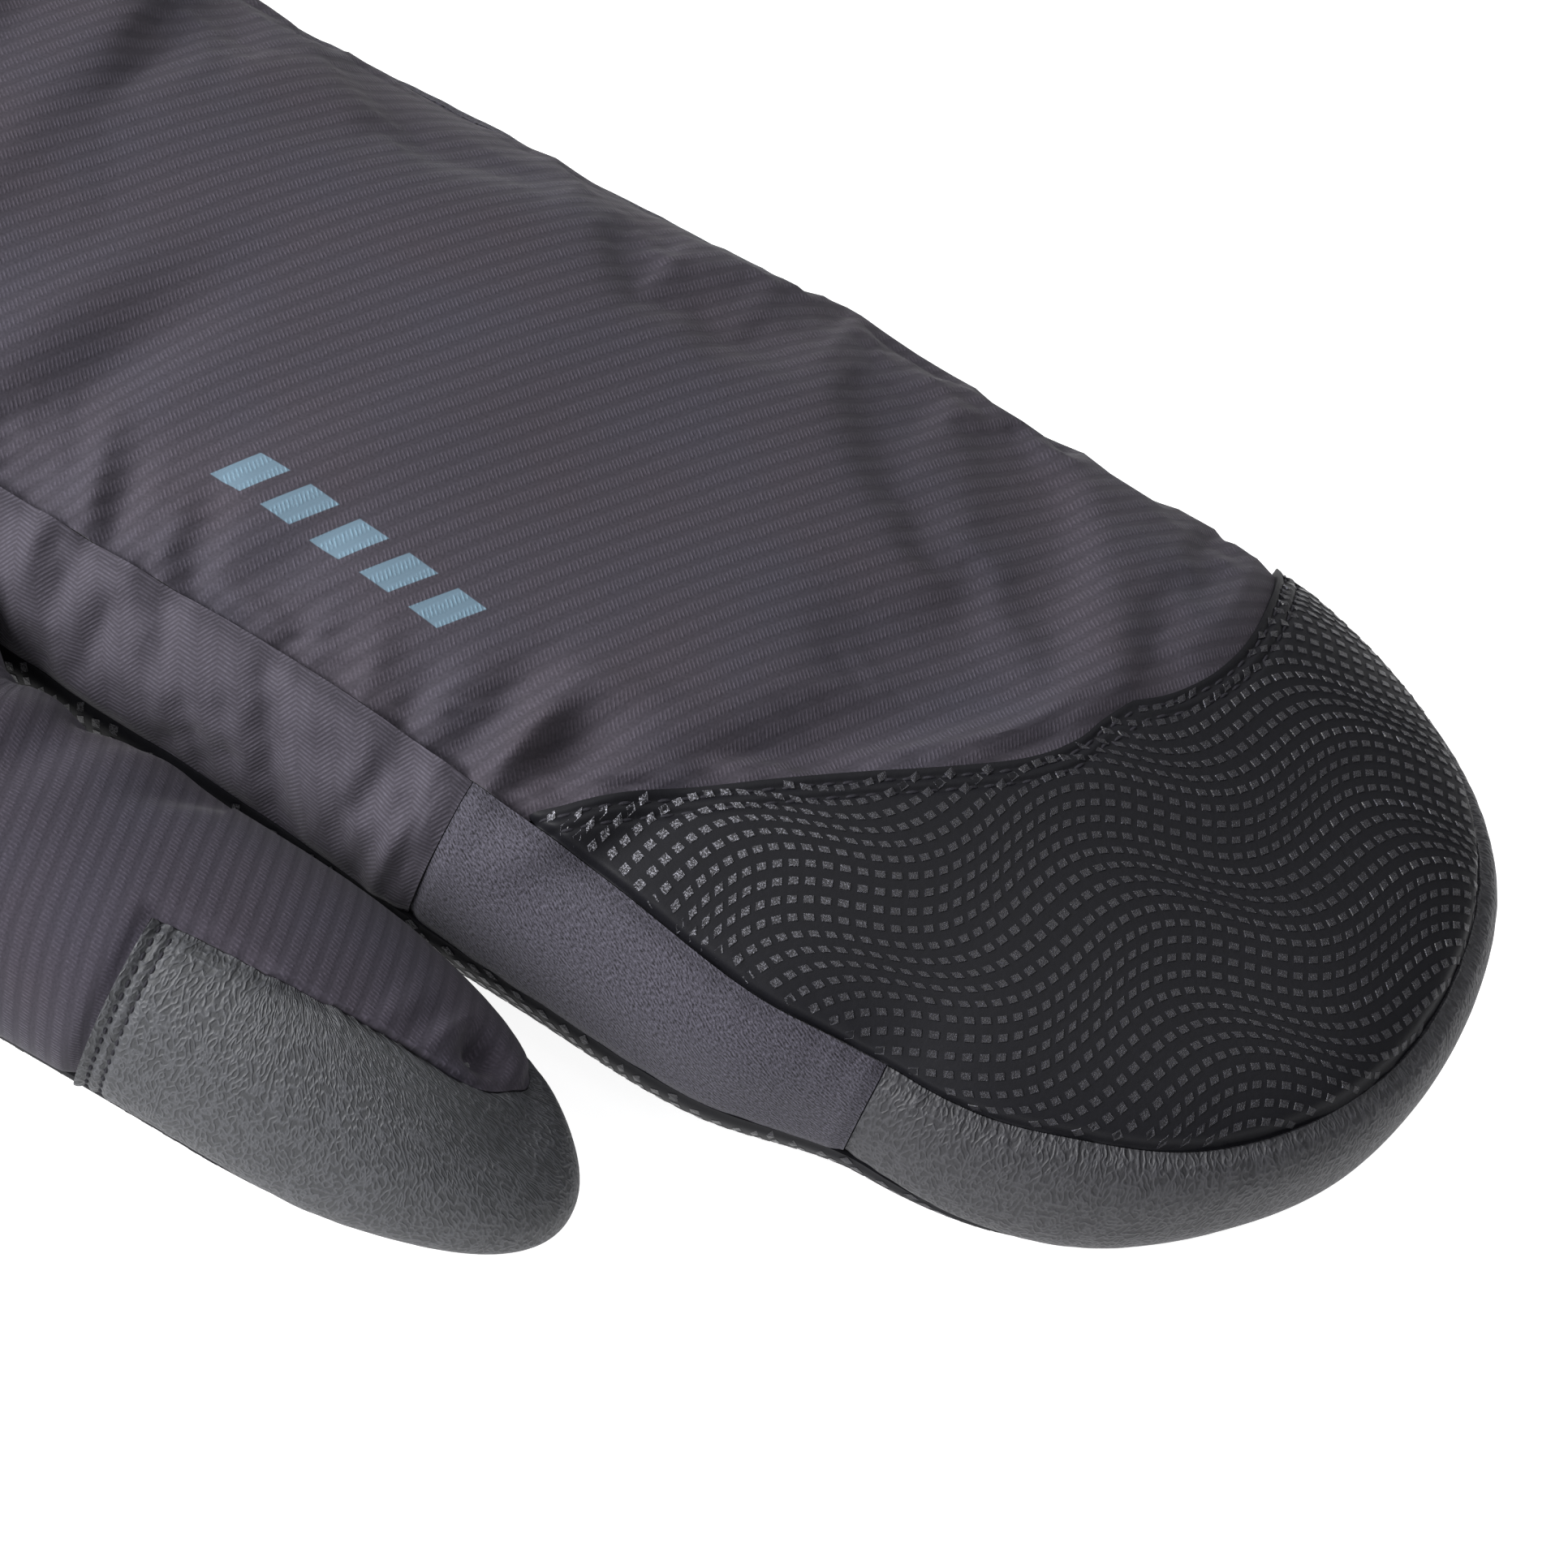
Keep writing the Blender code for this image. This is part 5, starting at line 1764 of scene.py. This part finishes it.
@dataclass
class BackOfHand:
    """The ribbed cloth on the back of the hand, from the wrist to the cap."""

    length: float = 0.188
    width: float = 0.116
    fine: float = 0.45 * MM
    coarse: float = 1.1 * MM
    seam_sink: float = 1.0 * MM
    seam_reach: float = 1.5 * MM

    def sheet(self) -> Sheet:
        """Lay the panel out and give it its relief.

        Returns:
            The panel's sheet.
        """
        near, far = cap_corner_turns()
        gap = 0.5 * SEAM_GAP
        rows = graded(self.length, fine=self.fine, coarse=self.coarse, band=6 * MM, ends=(False, True))
        columns = graded(self.width, fine=self.fine, coarse=self.coarse, band=8 * MM, ends=(True, True))
        near_start = float(HAND.turn_at(WRIST + gap, True))
        far_start = float(HAND.turn_at(WRIST + gap, False))
        off = gap / TIP_REACH
        left = spaced(seam_curve(HAND, BACK_SEAM, np.linspace(near_start, near - 3.0 * off, 400)), rows)
        right = spaced(seam_curve(HAND, BACK_SEAM, np.linspace(far_start, far + 2.0 * off, 400), 1.0), rows)
        end = cap_line(columns, -gap)
        end[0], end[-1] = left[-1], right[-1]
        start = columns[:, None] * (right[0] - left[0]) + left[0]
        places = fill_between(left, right, start, end, rows, columns)
        made = Sheet(HAND, *HAND.from_plan(places[..., 0], places[..., 1]))
        for side in (Side.LOW, Side.HIGH):
            made.roll(side, height=self.seam_sink, reach=self.seam_reach)
        made.roll(Side.START, height=0.6 * MM, reach=1.6 * MM)
        made.roll(Side.END, height=0.45 * MM, reach=3.0 * MM)
        made.gather(Side.LOW, height=0.75 * MM, reach=6 * MM, spacing=3.4 * MM, seed=11)
        made.gather(Side.LOW, height=0.24 * MM, reach=2.5 * MM, spacing=1.1 * MM, seed=12)
        made.gather(Side.HIGH, height=0.09 * MM, reach=5 * MM, spacing=4.2 * MM, seed=13)
        made.gather(Side.END, height=0.22 * MM, reach=6 * MM, spacing=5.0 * MM, seed=14)
        made.unrest(height=0.30 * MM, spacing=22 * MM, seed=15)
        made.crease(BACK_CREASES)
        Slack().settle(made)
        made.roll(Side.LOW, height=0.9 * MM, reach=5.0 * MM)
        return made

    def build(self, wardrobe: Wardrobe) -> None:
        """Sew the panel and put it on the frame."""
        panel = sewn(self.sheet(), "back_cloth", [wardrobe.back, wardrobe.lining])
        dress(panel, "back_panel")


@dataclass
class FingertipCap:
    """The grip cloth over the fingers, laid on the back cloth with a raw edge and two rows of stitches."""

    length: float = 0.100
    width: float = 0.170
    rise: float = 0.75 * MM
    rise_reach: float = 14 * MM
    seam_sink: float = 1.1 * MM
    stitch_lines: tuple = (1.2 * MM, 3.0 * MM)
    trim: float = 0.006

    def sheet(self) -> Sheet:
        """Lay the cap out and give it its relief.

        Returns:
            The cap's sheet.
        """
        near, far = cap_corner_turns()
        rows = graded(self.length, fine=0.42 * MM, coarse=1.0 * MM, band=8 * MM, ends=(True, True))
        columns = graded(self.width, fine=0.5 * MM, coarse=0.9 * MM, band=8 * MM, ends=(True, True))
        eased = self.trim + (1.0 - 2.0 * self.trim) * columns
        q = np.linspace(0.0, 1.0, 600)
        rear = cap_line(q, -0.35 * MM)
        arc = spaced(seam_curve(HAND, BACK_SEAM, np.linspace(near, far, 900)), q)
        rear[0], rear[-1] = 0.5 * (rear[0] + arc[0]), 0.5 * (rear[-1] + arc[-1])
        rear = np.stack([np.interp(eased, q, rear[:, k]) for k in (0, 1)], -1)
        arc = np.stack([np.interp(eased, q, arc[:, k]) for k in (0, 1)], -1)
        t = rows[:, None, None]
        places = (1 - t) * rear[None] + t * arc[None]
        made = Sheet(HAND, *HAND.from_plan(places[..., 0], places[..., 1]))
        raised = 0.35 + 0.65 * np.exp(-((made.away[Side.START] / self.rise_reach) ** 2))
        made.relief = made.relief + self.rise * raised
        made.roll(Side.END, height=self.seam_sink + 0.35 * self.rise, reach=1.5 * MM)
        for distance in self.stitch_lines:
            made.groove(Side.START, distance=distance, height=0.34 * MM, reach=0.45 * MM)
        made.gather(Side.END, height=0.18 * MM, reach=4 * MM, spacing=2.6 * MM, seed=21)
        made.unrest(height=0.22 * MM, spacing=18 * MM, seed=22)
        return made

    def build(self, wardrobe: Wardrobe) -> None:
        """Sew the cap, stitch it and put both on the frame."""
        cap = self.sheet()
        panel = sewn(cap, "grip_cap", [wardrobe.grip, wardrobe.lining])
        dress(panel, "fingertip_cap")
        dress(GripDots().lay(cap, "cap_dots", wardrobe.dots, panel), None)
        stitches = Stitches()
        for k, distance in enumerate(self.stitch_lines):
            stitches.row(*cap.line(Side.START, distance), shift=0.9 * MM * k)
        dress(stitches.build("cap_topstitching", wardrobe.thread), None)


@dataclass
class Underside:
    """A grip-cloth panel underneath a limb, rounded at the tip."""

    limb: Limb
    table: tuple
    start: float
    name: str
    node: str
    slot: str = "grip_fabric"
    corner: float = 48.0
    step: float = 1.3 * MM

    def build(self, wardrobe: Wardrobe, cutter: bpy.types.Object) -> None:
        """Sew the panel, open it for the thumb and put it on the frame.

        Args:
            wardrobe: the finishes.
            cutter: the volume that opens or trims it.
        """
        corner = math.radians(self.corner)
        limb = self.limb
        length = limb.tip - self.start
        rows = graded(length, fine=0.6 * MM, coarse=self.step, band=5 * MM, ends=(False, True))
        columns = graded(limb.width, fine=0.6 * MM, coarse=self.step, band=5 * MM, ends=(True, True))
        near = float(limb.turn_at(self.start, True))
        far = float(limb.turn_at(self.start, False))
        left = spaced(seam_curve(limb, self.table, np.linspace(near, -corner, 400), -1.0, True), rows)
        right = spaced(seam_curve(limb, self.table, np.linspace(far, corner, 400), 1.0, True), rows)
        end = spaced(seam_curve(limb, self.table, np.linspace(-corner, corner, 400), -1.0, True), columns)
        start = columns[:, None] * (right[0] - left[0]) + left[0]
        places = fill_between(left, right, start, end, rows, columns)
        turn, depth = limb.from_plan(places[..., 0], places[..., 1])
        made = Sheet(limb, turn, 2.0 - depth, under=True)
        for side in (Side.LOW, Side.HIGH, Side.END):
            made.roll(side, height=0.5 * MM, reach=1.2 * MM)
        panel = sewn(made, self.name, [wardrobe.grip, wardrobe.lining])
        cut(panel, cutter)
        dress(panel, self.node)
        dress(GripDots().lay(made, self.name + "_dots", wardrobe.palm_dots, panel), None)


@dataclass
class SideStrip:
    """A strip round a limb's side between two seams, in one cloth."""

    limb: Limb
    turns: Array
    seams: tuple
    name: str
    node: str
    slot: str
    across: float = 0.030
    sink: float = 0.9 * MM
    pucker: float = 0.20 * MM
    pucker_pitch: float = 2.2 * MM
    pucker_reach: float = 4.0 * MM
    end_sink: tuple = (0.5 * MM, 0.5 * MM)
    seed: int = 31
    creases: tuple = ()
    slack: bool = False

    def sheet(self) -> Sheet:
        """Lay the strip out and give it its relief.

        Returns:
            The strip's sheet.
        """
        limb, turns = self.limb, self.turns
        out = -1.0 if turns[-1] < turns[0] else 1.0
        high_turn, high = limb.from_plan(*seam_curve(limb, self.seams[0], turns, out).T)
        low_turn, low = limb.from_plan(*seam_curve(limb, self.seams[1], turns, out, True).T)
        high_turn[[0, -1]] = low_turn[[0, -1]] = turns[[0, -1]]
        share = graded(self.across, fine=0.4 * MM, coarse=0.8 * MM, band=5 * MM, ends=(True, True))[None]
        depth = high[:, None] + share * (2.0 - low - high)[:, None]
        turn = high_turn[:, None] + share * (low_turn - high_turn)[:, None]
        made = Sheet(limb, turn, depth, wrapped=True)
        made.roll(Side.LOW, height=self.sink, reach=1.4 * MM)
        made.roll(Side.HIGH, height=0.6 * self.sink, reach=1.2 * MM)
        made.roll(Side.START, height=self.end_sink[0], reach=1.1 * MM)
        made.roll(Side.END, height=self.end_sink[1], reach=1.1 * MM)
        for side, height, spacing, seed in (
            (Side.LOW, self.pucker, self.pucker_pitch, self.seed),
            (Side.HIGH, 0.6 * self.pucker, 1.4 * self.pucker_pitch, self.seed + 3),
        ):
            made.gather(side, height, self.pucker_reach, spacing, seed)
        made.unrest(height=0.25 * MM, spacing=16 * MM, seed=self.seed + 5)
        made.crease(self.creases)
        if self.slack:
            Slack().settle(made)
        return made


def side_turns(limb: Limb, start: float, end: float, near: bool, step: float) -> Array:
    """Turns along one straight side, fine at both ends.

    Args:
        limb: the limb.
        start: first station.
        end: last station.
        near: picks the side.
        step: step between the fine ends.

    Returns:
        Turns, half a gap inside each end.
    """
    gap = 0.5 * SEAM_GAP
    shares = graded(end - start, fine=0.4 * MM, coarse=step, band=5 * MM, ends=(True, True))
    return limb.turn_at(start + gap + shares * (end - start - 2 * gap), near)


@dataclass
class HandSides:
    """The side wall round the hand: two cloths on the thumb side, leather round the tip, one far cloth."""

    step: float = 0.8 * MM
    far_step: float = 1.2 * MM
    tip_run: float = 0.205

    def strips(self, wardrobe: Wardrobe) -> list:
        """Lay the four strips out.

        Args:
            wardrobe: the finishes.

        Returns:
            Pairs of a strip and its finish.
        """
        cross = FINGERTIPS - CROSS_SEAM_BEHIND
        leather = FINGERTIPS - LEATHER_START_BEHIND
        seams = (BACK_SEAM, PALM_SEAM)
        first = float(HAND.turn_at(leather + 0.5 * SEAM_GAP, True))
        shares = graded(self.tip_run, fine=0.4 * MM, coarse=0.7 * MM, band=4 * MM, ends=(True, True))
        rear = SideStrip(
            HAND,
            side_turns(HAND, WRIST, cross, True, self.step),
            seams,
            "side_cloth_thumb_rear",
            "gusset_thumb_rear",
            "gusset_fabric",
            pucker=0.38 * MM,
            pucker_pitch=3.2 * MM,
            pucker_reach=6 * MM,
            creases=SIDE_CREASES,
            slack=True,
        )
        front = SideStrip(
            HAND,
            side_turns(HAND, cross, leather, True, self.step),
            seams,
            "side_cloth_thumb_front",
            "gusset_thumb_front",
            "stretch_fabric",
            seed=41,
        )
        tip = SideStrip(
            HAND,
            first + shares * (HALF_TURN - first),
            seams,
            "tip_band_leather",
            "gusset_tip",
            "band_leather",
            pucker=0.16 * MM,
            pucker_pitch=1.2 * MM,
            pucker_reach=3.5 * MM,
            end_sink=(0.35 * MM, 0.5 * MM),
            seed=51,
        )
        far = SideStrip(
            HAND,
            side_turns(HAND, WRIST, HAND.heel - SEAM_GAP, False, self.far_step),
            seams,
            "side_cloth_far",
            "gusset_outer",
            "stretch_fabric",
            seed=61,
        )
        return [(rear, wardrobe.side), (front, wardrobe.front), (tip, wardrobe.band), (far, wardrobe.front)]

    def build(self, wardrobe: Wardrobe, thumb_bore: bpy.types.Object) -> None:
        """Sew the four strips and put them on the frame.

        Args:
            wardrobe: the finishes.
            thumb_bore: the thumb's hollow, which opens the rear strip.
        """
        for strip, finish in self.strips(wardrobe):
            piece = sewn(strip.sheet(), strip.name, [finish, wardrobe.lining])
            if strip.node == "gusset_thumb_rear":
                cut(piece, thumb_bore)
            dress(piece, strip.node)


def seam_turns(limb: Limb, table: tuple, first: float, last: float, shares: Array) -> Array:
    """Turns from one place on a seam to another, at shares of its length.

    Args:
        limb: the limb.
        table: the seam.
        first: turn that it starts at.
        last: turn that it ends at.
        shares: shares of the length between them.

    Returns:
        One turn for each share.
    """
    fine = np.linspace(first, last, 800)
    run = arc_length(plan_curve(limb, fine, limb.seam(table, fine)))
    return np.interp(shares * run[-1], run, fine)


@dataclass
class ThumbCloth:
    """The thumb's cloth: all round its base, then a tongue that ends short of the tip."""

    step: float = 0.8 * MM
    sink: float = 0.9 * MM
    reach: float = 1.4 * MM
    skirt: int = 22
    half: int = 30
    tongue_run: float = 0.050

    def sheets(self) -> tuple[Sheet, Sheet]:
        """Lay the base and the tongue out and give them one relief.

        Returns:
            The base's sheet and the tongue's.
        """
        gap = 0.5 * SEAM_GAP
        step = THUMB_TIP - PATCH_LENGTH
        along = graded(step - THUMB.start, fine=0.4 * MM, coarse=self.step, band=5 * MM, ends=(False, True))
        stations = THUMB.start + along * (step - gap - THUMB.start)
        near_turn, far_turn = THUMB.turn_at(stations, True), THUMB.turn_at(stations, False)
        near_edge = THUMB.seam(THUMB_BACK_SEAM, near_turn)
        far_edge = THUMB.seam(THUMB_BACK_SEAM, far_turn)
        near_low = 2.0 - THUMB.from_plan(*seam_curve(THUMB, THUMB_PALM_SEAM, near_turn, 1.0, True).T)[1]
        far_low = 2.0 - THUMB.from_plan(*seam_curve(THUMB, THUMB_PALM_SEAM, far_turn, -1.0, True).T)[1]
        over = [-(near_low + (near_edge - near_low) * k / self.skirt) for k in range(self.skirt)]
        over += [-(near_edge * (1.0 - k / self.half)) for k in range(self.half)]
        over += [far_edge * k / self.half for k in range(self.half)]
        over += [far_edge + (far_low - far_edge) * k / self.skirt for k in range(self.skirt + 1)]
        over = np.stack(over, 1)
        turn = np.where(over < 0, near_turn[:, None], far_turn[:, None])
        base = Sheet(THUMB, turn, np.abs(over))
        count = 2 * self.half + 1
        columns = np.linspace(0.0, 1.0, count)
        rows = graded(self.tongue_run, fine=0.4 * MM, coarse=self.step, band=5 * MM, ends=(False, True))
        near, far = (math.radians(corner) for corner in TONGUE_CORNERS)
        first = step - gap
        left = seam_turns(THUMB, THUMB_BACK_SEAM, float(THUMB.turn_at(first, True)), near, rows)
        right = seam_turns(THUMB, THUMB_BACK_SEAM, float(THUMB.turn_at(first, False)), far, rows)
        end = seam_turns(THUMB, THUMB_BACK_SEAM, near, far, columns)
        left = seam_curve(THUMB, THUMB_BACK_SEAM, left, -1.0)
        right = seam_curve(THUMB, THUMB_BACK_SEAM, right, 1.0)
        end = seam_curve(THUMB, THUMB_BACK_SEAM, end, -1.0)
        left[-1], right[-1] = end[0], end[-1]
        shared = slice(self.skirt, self.skirt + count)
        start = plan_curve(THUMB, turn[-1, shared], np.abs(over[-1, shared]))
        places = fill_between(left, right, start, end, rows, columns)
        tongue_turn, tongue_depth = THUMB.from_plan(places[..., 0], places[..., 1])
        tongue_turn[0], tongue_depth[0] = turn[-1, shared], np.abs(over[-1, shared])
        tongue = Sheet(THUMB, tongue_turn, tongue_depth)
        self.shape(base, tongue, shared)
        return base, tongue

    def shape(self, base: Sheet, tongue: Sheet, shared: slice) -> None:
        """Give both sheets seams that meet, the base its wrinkles and the tongue a pressed pocket at its end.

        Args:
            base: the base's sheet.
            tongue: the tongue's sheet.
            shared: the base's columns that the tongue carries on.
        """
        across = base.away[Side.LOW]
        low_corner = across[:, shared.start : shared.start + 1]
        high_corner = across[:, shared.stop - 1 : shared.stop]
        aside = np.minimum(np.clip(across - low_corner, 0.0, None), np.clip(high_corner - across, 0.0, None))
        to_patch = np.hypot(base.away[Side.END], aside)
        base.relief = base.relief - self.sink * np.exp(-((to_patch / self.reach) ** 2))
        sides = np.minimum(tongue.away[Side.LOW], tongue.away[Side.HIGH])
        tongue.relief = tongue.relief - self.sink * np.exp(-((sides / self.reach) ** 2))
        tongue.roll(Side.END, height=self.sink, reach=self.reach)
        tongue.gather(Side.END, height=0.30 * MM, reach=3.0 * MM, spacing=1.3 * MM, seed=71)
        ease = np.clip(tongue.away[Side.START] / (6 * MM), 0.0, 1.0)
        wave = ripple(tongue.run[Side.LOW] + 0.0 * sides, 1.6 * MM, 72) * np.exp(-sides / (3 * MM))
        tongue.relief = tongue.relief + 0.14 * MM * wave * ease
        for side in (Side.LOW, Side.HIGH):
            base.roll(side, height=0.5 * MM, reach=1.2 * MM)
        base.crease(THUMB_CREASES)
        tongue.crease(TONGUE_CREASES)

    def build(self, wardrobe: Wardrobe, hand_volume: bpy.types.Object) -> None:
        """Sew the cloth, trim it where it meets the hand and put it on the frame.

        Args:
            wardrobe: the finishes.
            hand_volume: the hand's outer shape.
        """
        base, tongue = self.sheets()
        columns = base.turn.shape[1]
        free = np.array([j for j in range(columns - 1) if not self.skirt <= j < self.skirt + 2 * self.half])
        sewing = Sewing()
        sewing.add(base, (Side.END,), free)
        sewing.add(tongue, (Side.START,))
        piece = sewing.close("thumb_cloth", [wardrobe.thumb, wardrobe.lining])
        cut(piece, hand_volume)
        dress(piece, "thumb_back")


@dataclass
class ThumbLeather:
    """The leather round the thumb's outer side and tip, double-stitched along its rear edge."""

    run: float = 0.150
    step: float = 0.7 * MM
    stitch_lines: tuple = (1.3 * MM, 3.1 * MM)

    def build(self, wardrobe: Wardrobe) -> None:
        """Sew the leather, stitch it and put both on the frame."""
        start = THUMB_TIP - PATCH_LENGTH + 0.5 * SEAM_GAP
        first, last = float(THUMB.turn_at(start, True)), float(THUMB.turn_at(start, False))
        shares = graded(self.run, fine=0.35 * MM, coarse=self.step, band=6 * MM, ends=(True, True))
        turns = first + shares * (last - first)
        strip = SideStrip(
            THUMB,
            turns,
            (THUMB_BACK_SEAM, THUMB_PALM_SEAM),
            "thumb_leather",
            "thumb_patch",
            "thumb_leather",
            across=0.034,
            pucker=0.50 * MM,
            pucker_pitch=1.0 * MM,
            pucker_reach=1.8 * MM,
            end_sink=(-0.5 * MM, 0.3 * MM),
            seed=81,
        )
        leather = strip.sheet()
        for distance in self.stitch_lines:
            leather.groove(Side.START, distance=distance, height=0.45 * MM, reach=0.45 * MM)
        piece = sewn(leather, strip.name, [wardrobe.thumb_leather, wardrobe.lining])
        dress(piece, strip.node)
        stitches = Stitches(length=1.3 * MM, pitch=1.85 * MM, radius=0.24 * MM)
        for k, distance in enumerate(self.stitch_lines):
            stitches.row(*leather.line(Side.START, distance), shift=0.9 * MM * k)
        dress(stitches.build("thumb_leather_stitching", wardrobe.thread), None)


@dataclass
class Cuff:
    """The plain cuff, a ring from the wrist seam to the open mouth, with a turned hem."""

    columns: int = 91
    hem: float = 12 * MM

    def build(self, wardrobe: Wardrobe) -> None:
        """Sew the ring, stitch its hem and put both on the frame."""
        length = WRIST - 0.5 * SEAM_GAP - MOUTH
        shares = graded(length, fine=0.5 * MM, coarse=1.2 * MM, band=14 * MM, ends=(True, True))
        stations = MOUTH + shares * length
        depths = np.concatenate([np.linspace(0.0, 2.0, self.columns), np.linspace(2.0, 0.0, self.columns)])
        near = np.concatenate([np.ones(self.columns, bool), np.zeros(self.columns, bool)])
        near_turn, far_turn = HAND.turn_at(stations, True), HAND.turn_at(stations, False)
        turn = np.where(near[None], near_turn[:, None], far_turn[:, None])
        made = Sheet(HAND, turn, np.repeat(depths[None], len(stations), 0))
        made.roll(Side.START, height=0.9 * MM, reach=1.0 * MM)
        made.roll(Side.END, height=0.7 * MM, reach=1.5 * MM)
        made.groove(Side.START, distance=self.hem, height=0.35 * MM, reach=0.7 * MM)
        sewing = Sewing()
        sewing.add(made, (Side.LOW, Side.HIGH))
        dress(sewing.close("cuff_cloth", [wardrobe.cuff, wardrobe.lining]), "cuff")
        stitches = Stitches(length=2.4 * MM, pitch=3.0 * MM, radius=0.2 * MM)
        stitches.row(*made.line(Side.START, self.hem))
        dress(stitches.build("cuff_hem_stitching", wardrobe.thread), None)


@dataclass(frozen=True)
class Studio:
    """A pale floor that glows like a light table, soft lights and the photograph's view."""

    azimuth: float = 4.577
    elevation: float = 50.343
    roll: float = 25.692
    distance: float = 1.1
    target: tuple = (0.02, -0.01, 0.02)
    lens: float = 210.0
    shift: tuple = (-0.0336, 0.0140)
    floor_size: float = 6.0
    table_glow: float = 0.90
    bright_side: tuple = (-0.80, -0.45, 0.40)
    # Lean toward the bright side where the sky is darkest and brightest, then the sky's strength there
    sky: tuple = (-0.9, 0.9, 0.02, 0.98)
    # Name, watts, side of the square, where it hangs and what it faces
    lamps: tuple = (
        ("key", 62.0, 1.0, (-1.20, -0.86, 0.72), (0.0, -0.02, 0.02)),
        ("top", 12.0, 1.6, (0.1, 0.3, 1.7), (0.0, 0.0, 0.02)),
    )

    def camera(self) -> None:
        """Place the camera at the photograph's viewing angle."""
        a, e, roll = (math.radians(x) for x in (self.azimuth, self.elevation, self.roll))
        back = Vector((math.sin(a) * math.cos(e), -math.cos(a) * math.cos(e), math.sin(e)))
        right = Vector((math.cos(a), math.sin(a), 0.0))
        up = back.cross(right)
        across = right * math.cos(roll) + up * math.sin(roll)
        upward = up * math.cos(roll) - right * math.sin(roll)
        data = bpy.data.cameras.new("view")
        data.lens = self.lens
        data.sensor_width = 36.0
        data.shift_x, data.shift_y = self.shift
        eye = bpy.data.objects.new("view", data)
        bpy.context.scene.collection.objects.link(eye)
        place = Matrix((across, upward, back)).transposed().to_4x4()
        place.translation = Vector(self.target) + back * self.distance
        eye.matrix_world = place
        bpy.context.scene.camera = eye

    def floor(self) -> None:
        """Lay the pale floor, whose glow keeps shadows from showing."""
        g = Graph("pale_studio_floor")
        haze = g.add("TexNoise", {"Vector": g.add("TexCoord").outputs["Object"], "Scale": 3.0, "Detail": 2.0})
        colour = g.blend(haze.outputs[0], linear("#b6b6b8"), linear("#bababc"))
        g.feed(g.shader, {"Base Color": colour, "Roughness": 0.9, "Specular IOR Level": 0.1})
        g.feed(g.shader, {"Emission Color": (1.0, 1.0, 1.0, 1.0), "Emission Strength": self.table_glow})
        half, low = 0.5 * self.floor_size, -0.2 * MM
        mesh = bpy.data.meshes.new("floor")
        ends = [(-half, -half, low), (half, -half, low), (half, half, low), (-half, half, low)]
        mesh.from_pydata(ends, [], [(0, 1, 2, 3)])
        link(mesh, "floor", [g.material])

    def lamp(self, name: str, power: float, size: float, place: tuple, aim: tuple) -> None:
        """Hang one soft box.

        Args:
            name: the lamp's name.
            power: watts.
            size: side of the square.
            place: where it hangs.
            aim: what it faces.
        """
        data = bpy.data.lights.new(name, "AREA")
        data.energy = power
        data.size = size
        made = bpy.data.objects.new(name, data)
        bpy.context.scene.collection.objects.link(made)
        made.location = place
        made.rotation_mode = "QUATERNION"
        made.rotation_quaternion = (Vector(place) - Vector(aim)).to_track_quat("Z", "Y")

    def build(self) -> None:
        """Set the whole studio up."""
        self.camera()
        self.floor()
        world = bpy.data.worlds.new("studio")
        bpy.context.scene.world = world
        world.use_nodes = True
        nodes, links = world.node_tree.nodes, world.node_tree.links
        facing = nodes.new("ShaderNodeVectorMath")
        facing.operation = "DOT_PRODUCT"
        facing.inputs[1].default_value = self.bright_side
        links.new(nodes.new("ShaderNodeTexCoord").outputs["Generated"], facing.inputs[0])
        level = nodes.new("ShaderNodeMapRange")
        for key, value in zip(("From Min", "From Max", "To Min", "To Max"), self.sky):
            level.inputs[key].default_value = value
        links.new(facing.outputs["Value"], level.inputs["Value"])
        links.new(level.outputs[0], nodes["Background"].inputs["Strength"])
        nodes["Background"].inputs["Color"].default_value = (1.0, 1.0, 1.0, 1.0)
        # Colours come out as they are dyed, and the overlit floor as white
        bpy.context.scene.view_settings.view_transform = "Standard"
        for lamp in self.lamps:
            self.lamp(*lamp)


def corners(box: tuple) -> list:
    """A box's two corners as plain lists."""
    return [list(corner) for corner in box]


def main() -> None:
    """Build the mitten panel by panel, then the studio."""
    logging.basicConfig(level=logging.INFO, format="%(name)s: %(message)s")
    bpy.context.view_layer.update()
    wardrobe = Wardrobe()
    thumb_bore = closed_limb(THUMB, THUMB.start + MM, grow=-(WALL + 0.5 * MM), name="thumb_bore")
    hand_volume = closed_limb(HAND, MOUTH - MM, grow=0.1 * MM, name="hand_volume")
    BackOfHand().build(wardrobe)
    FingertipCap().build(wardrobe)
    HandSides().build(wardrobe, thumb_bore)
    palm = Underside(HAND, PALM_SEAM, WRIST + 0.5 * SEAM_GAP, "palm_grip", "palm_panel")
    palm.build(wardrobe, thumb_bore)
    ThumbCloth().build(wardrobe, hand_volume)
    ThumbLeather().build(wardrobe)
    thumb_palm = Underside(THUMB, THUMB_PALM_SEAM, THUMB.start, "thumb_grip", "thumb_palm", step=0.9 * MM)
    thumb_palm.build(wardrobe, hand_volume)
    Cuff().build(wardrobe)
    for cutter in (thumb_bore, hand_volume):
        bpy.data.objects.remove(cutter)
    Studio().build()


if __name__ == "__main__":
    main()
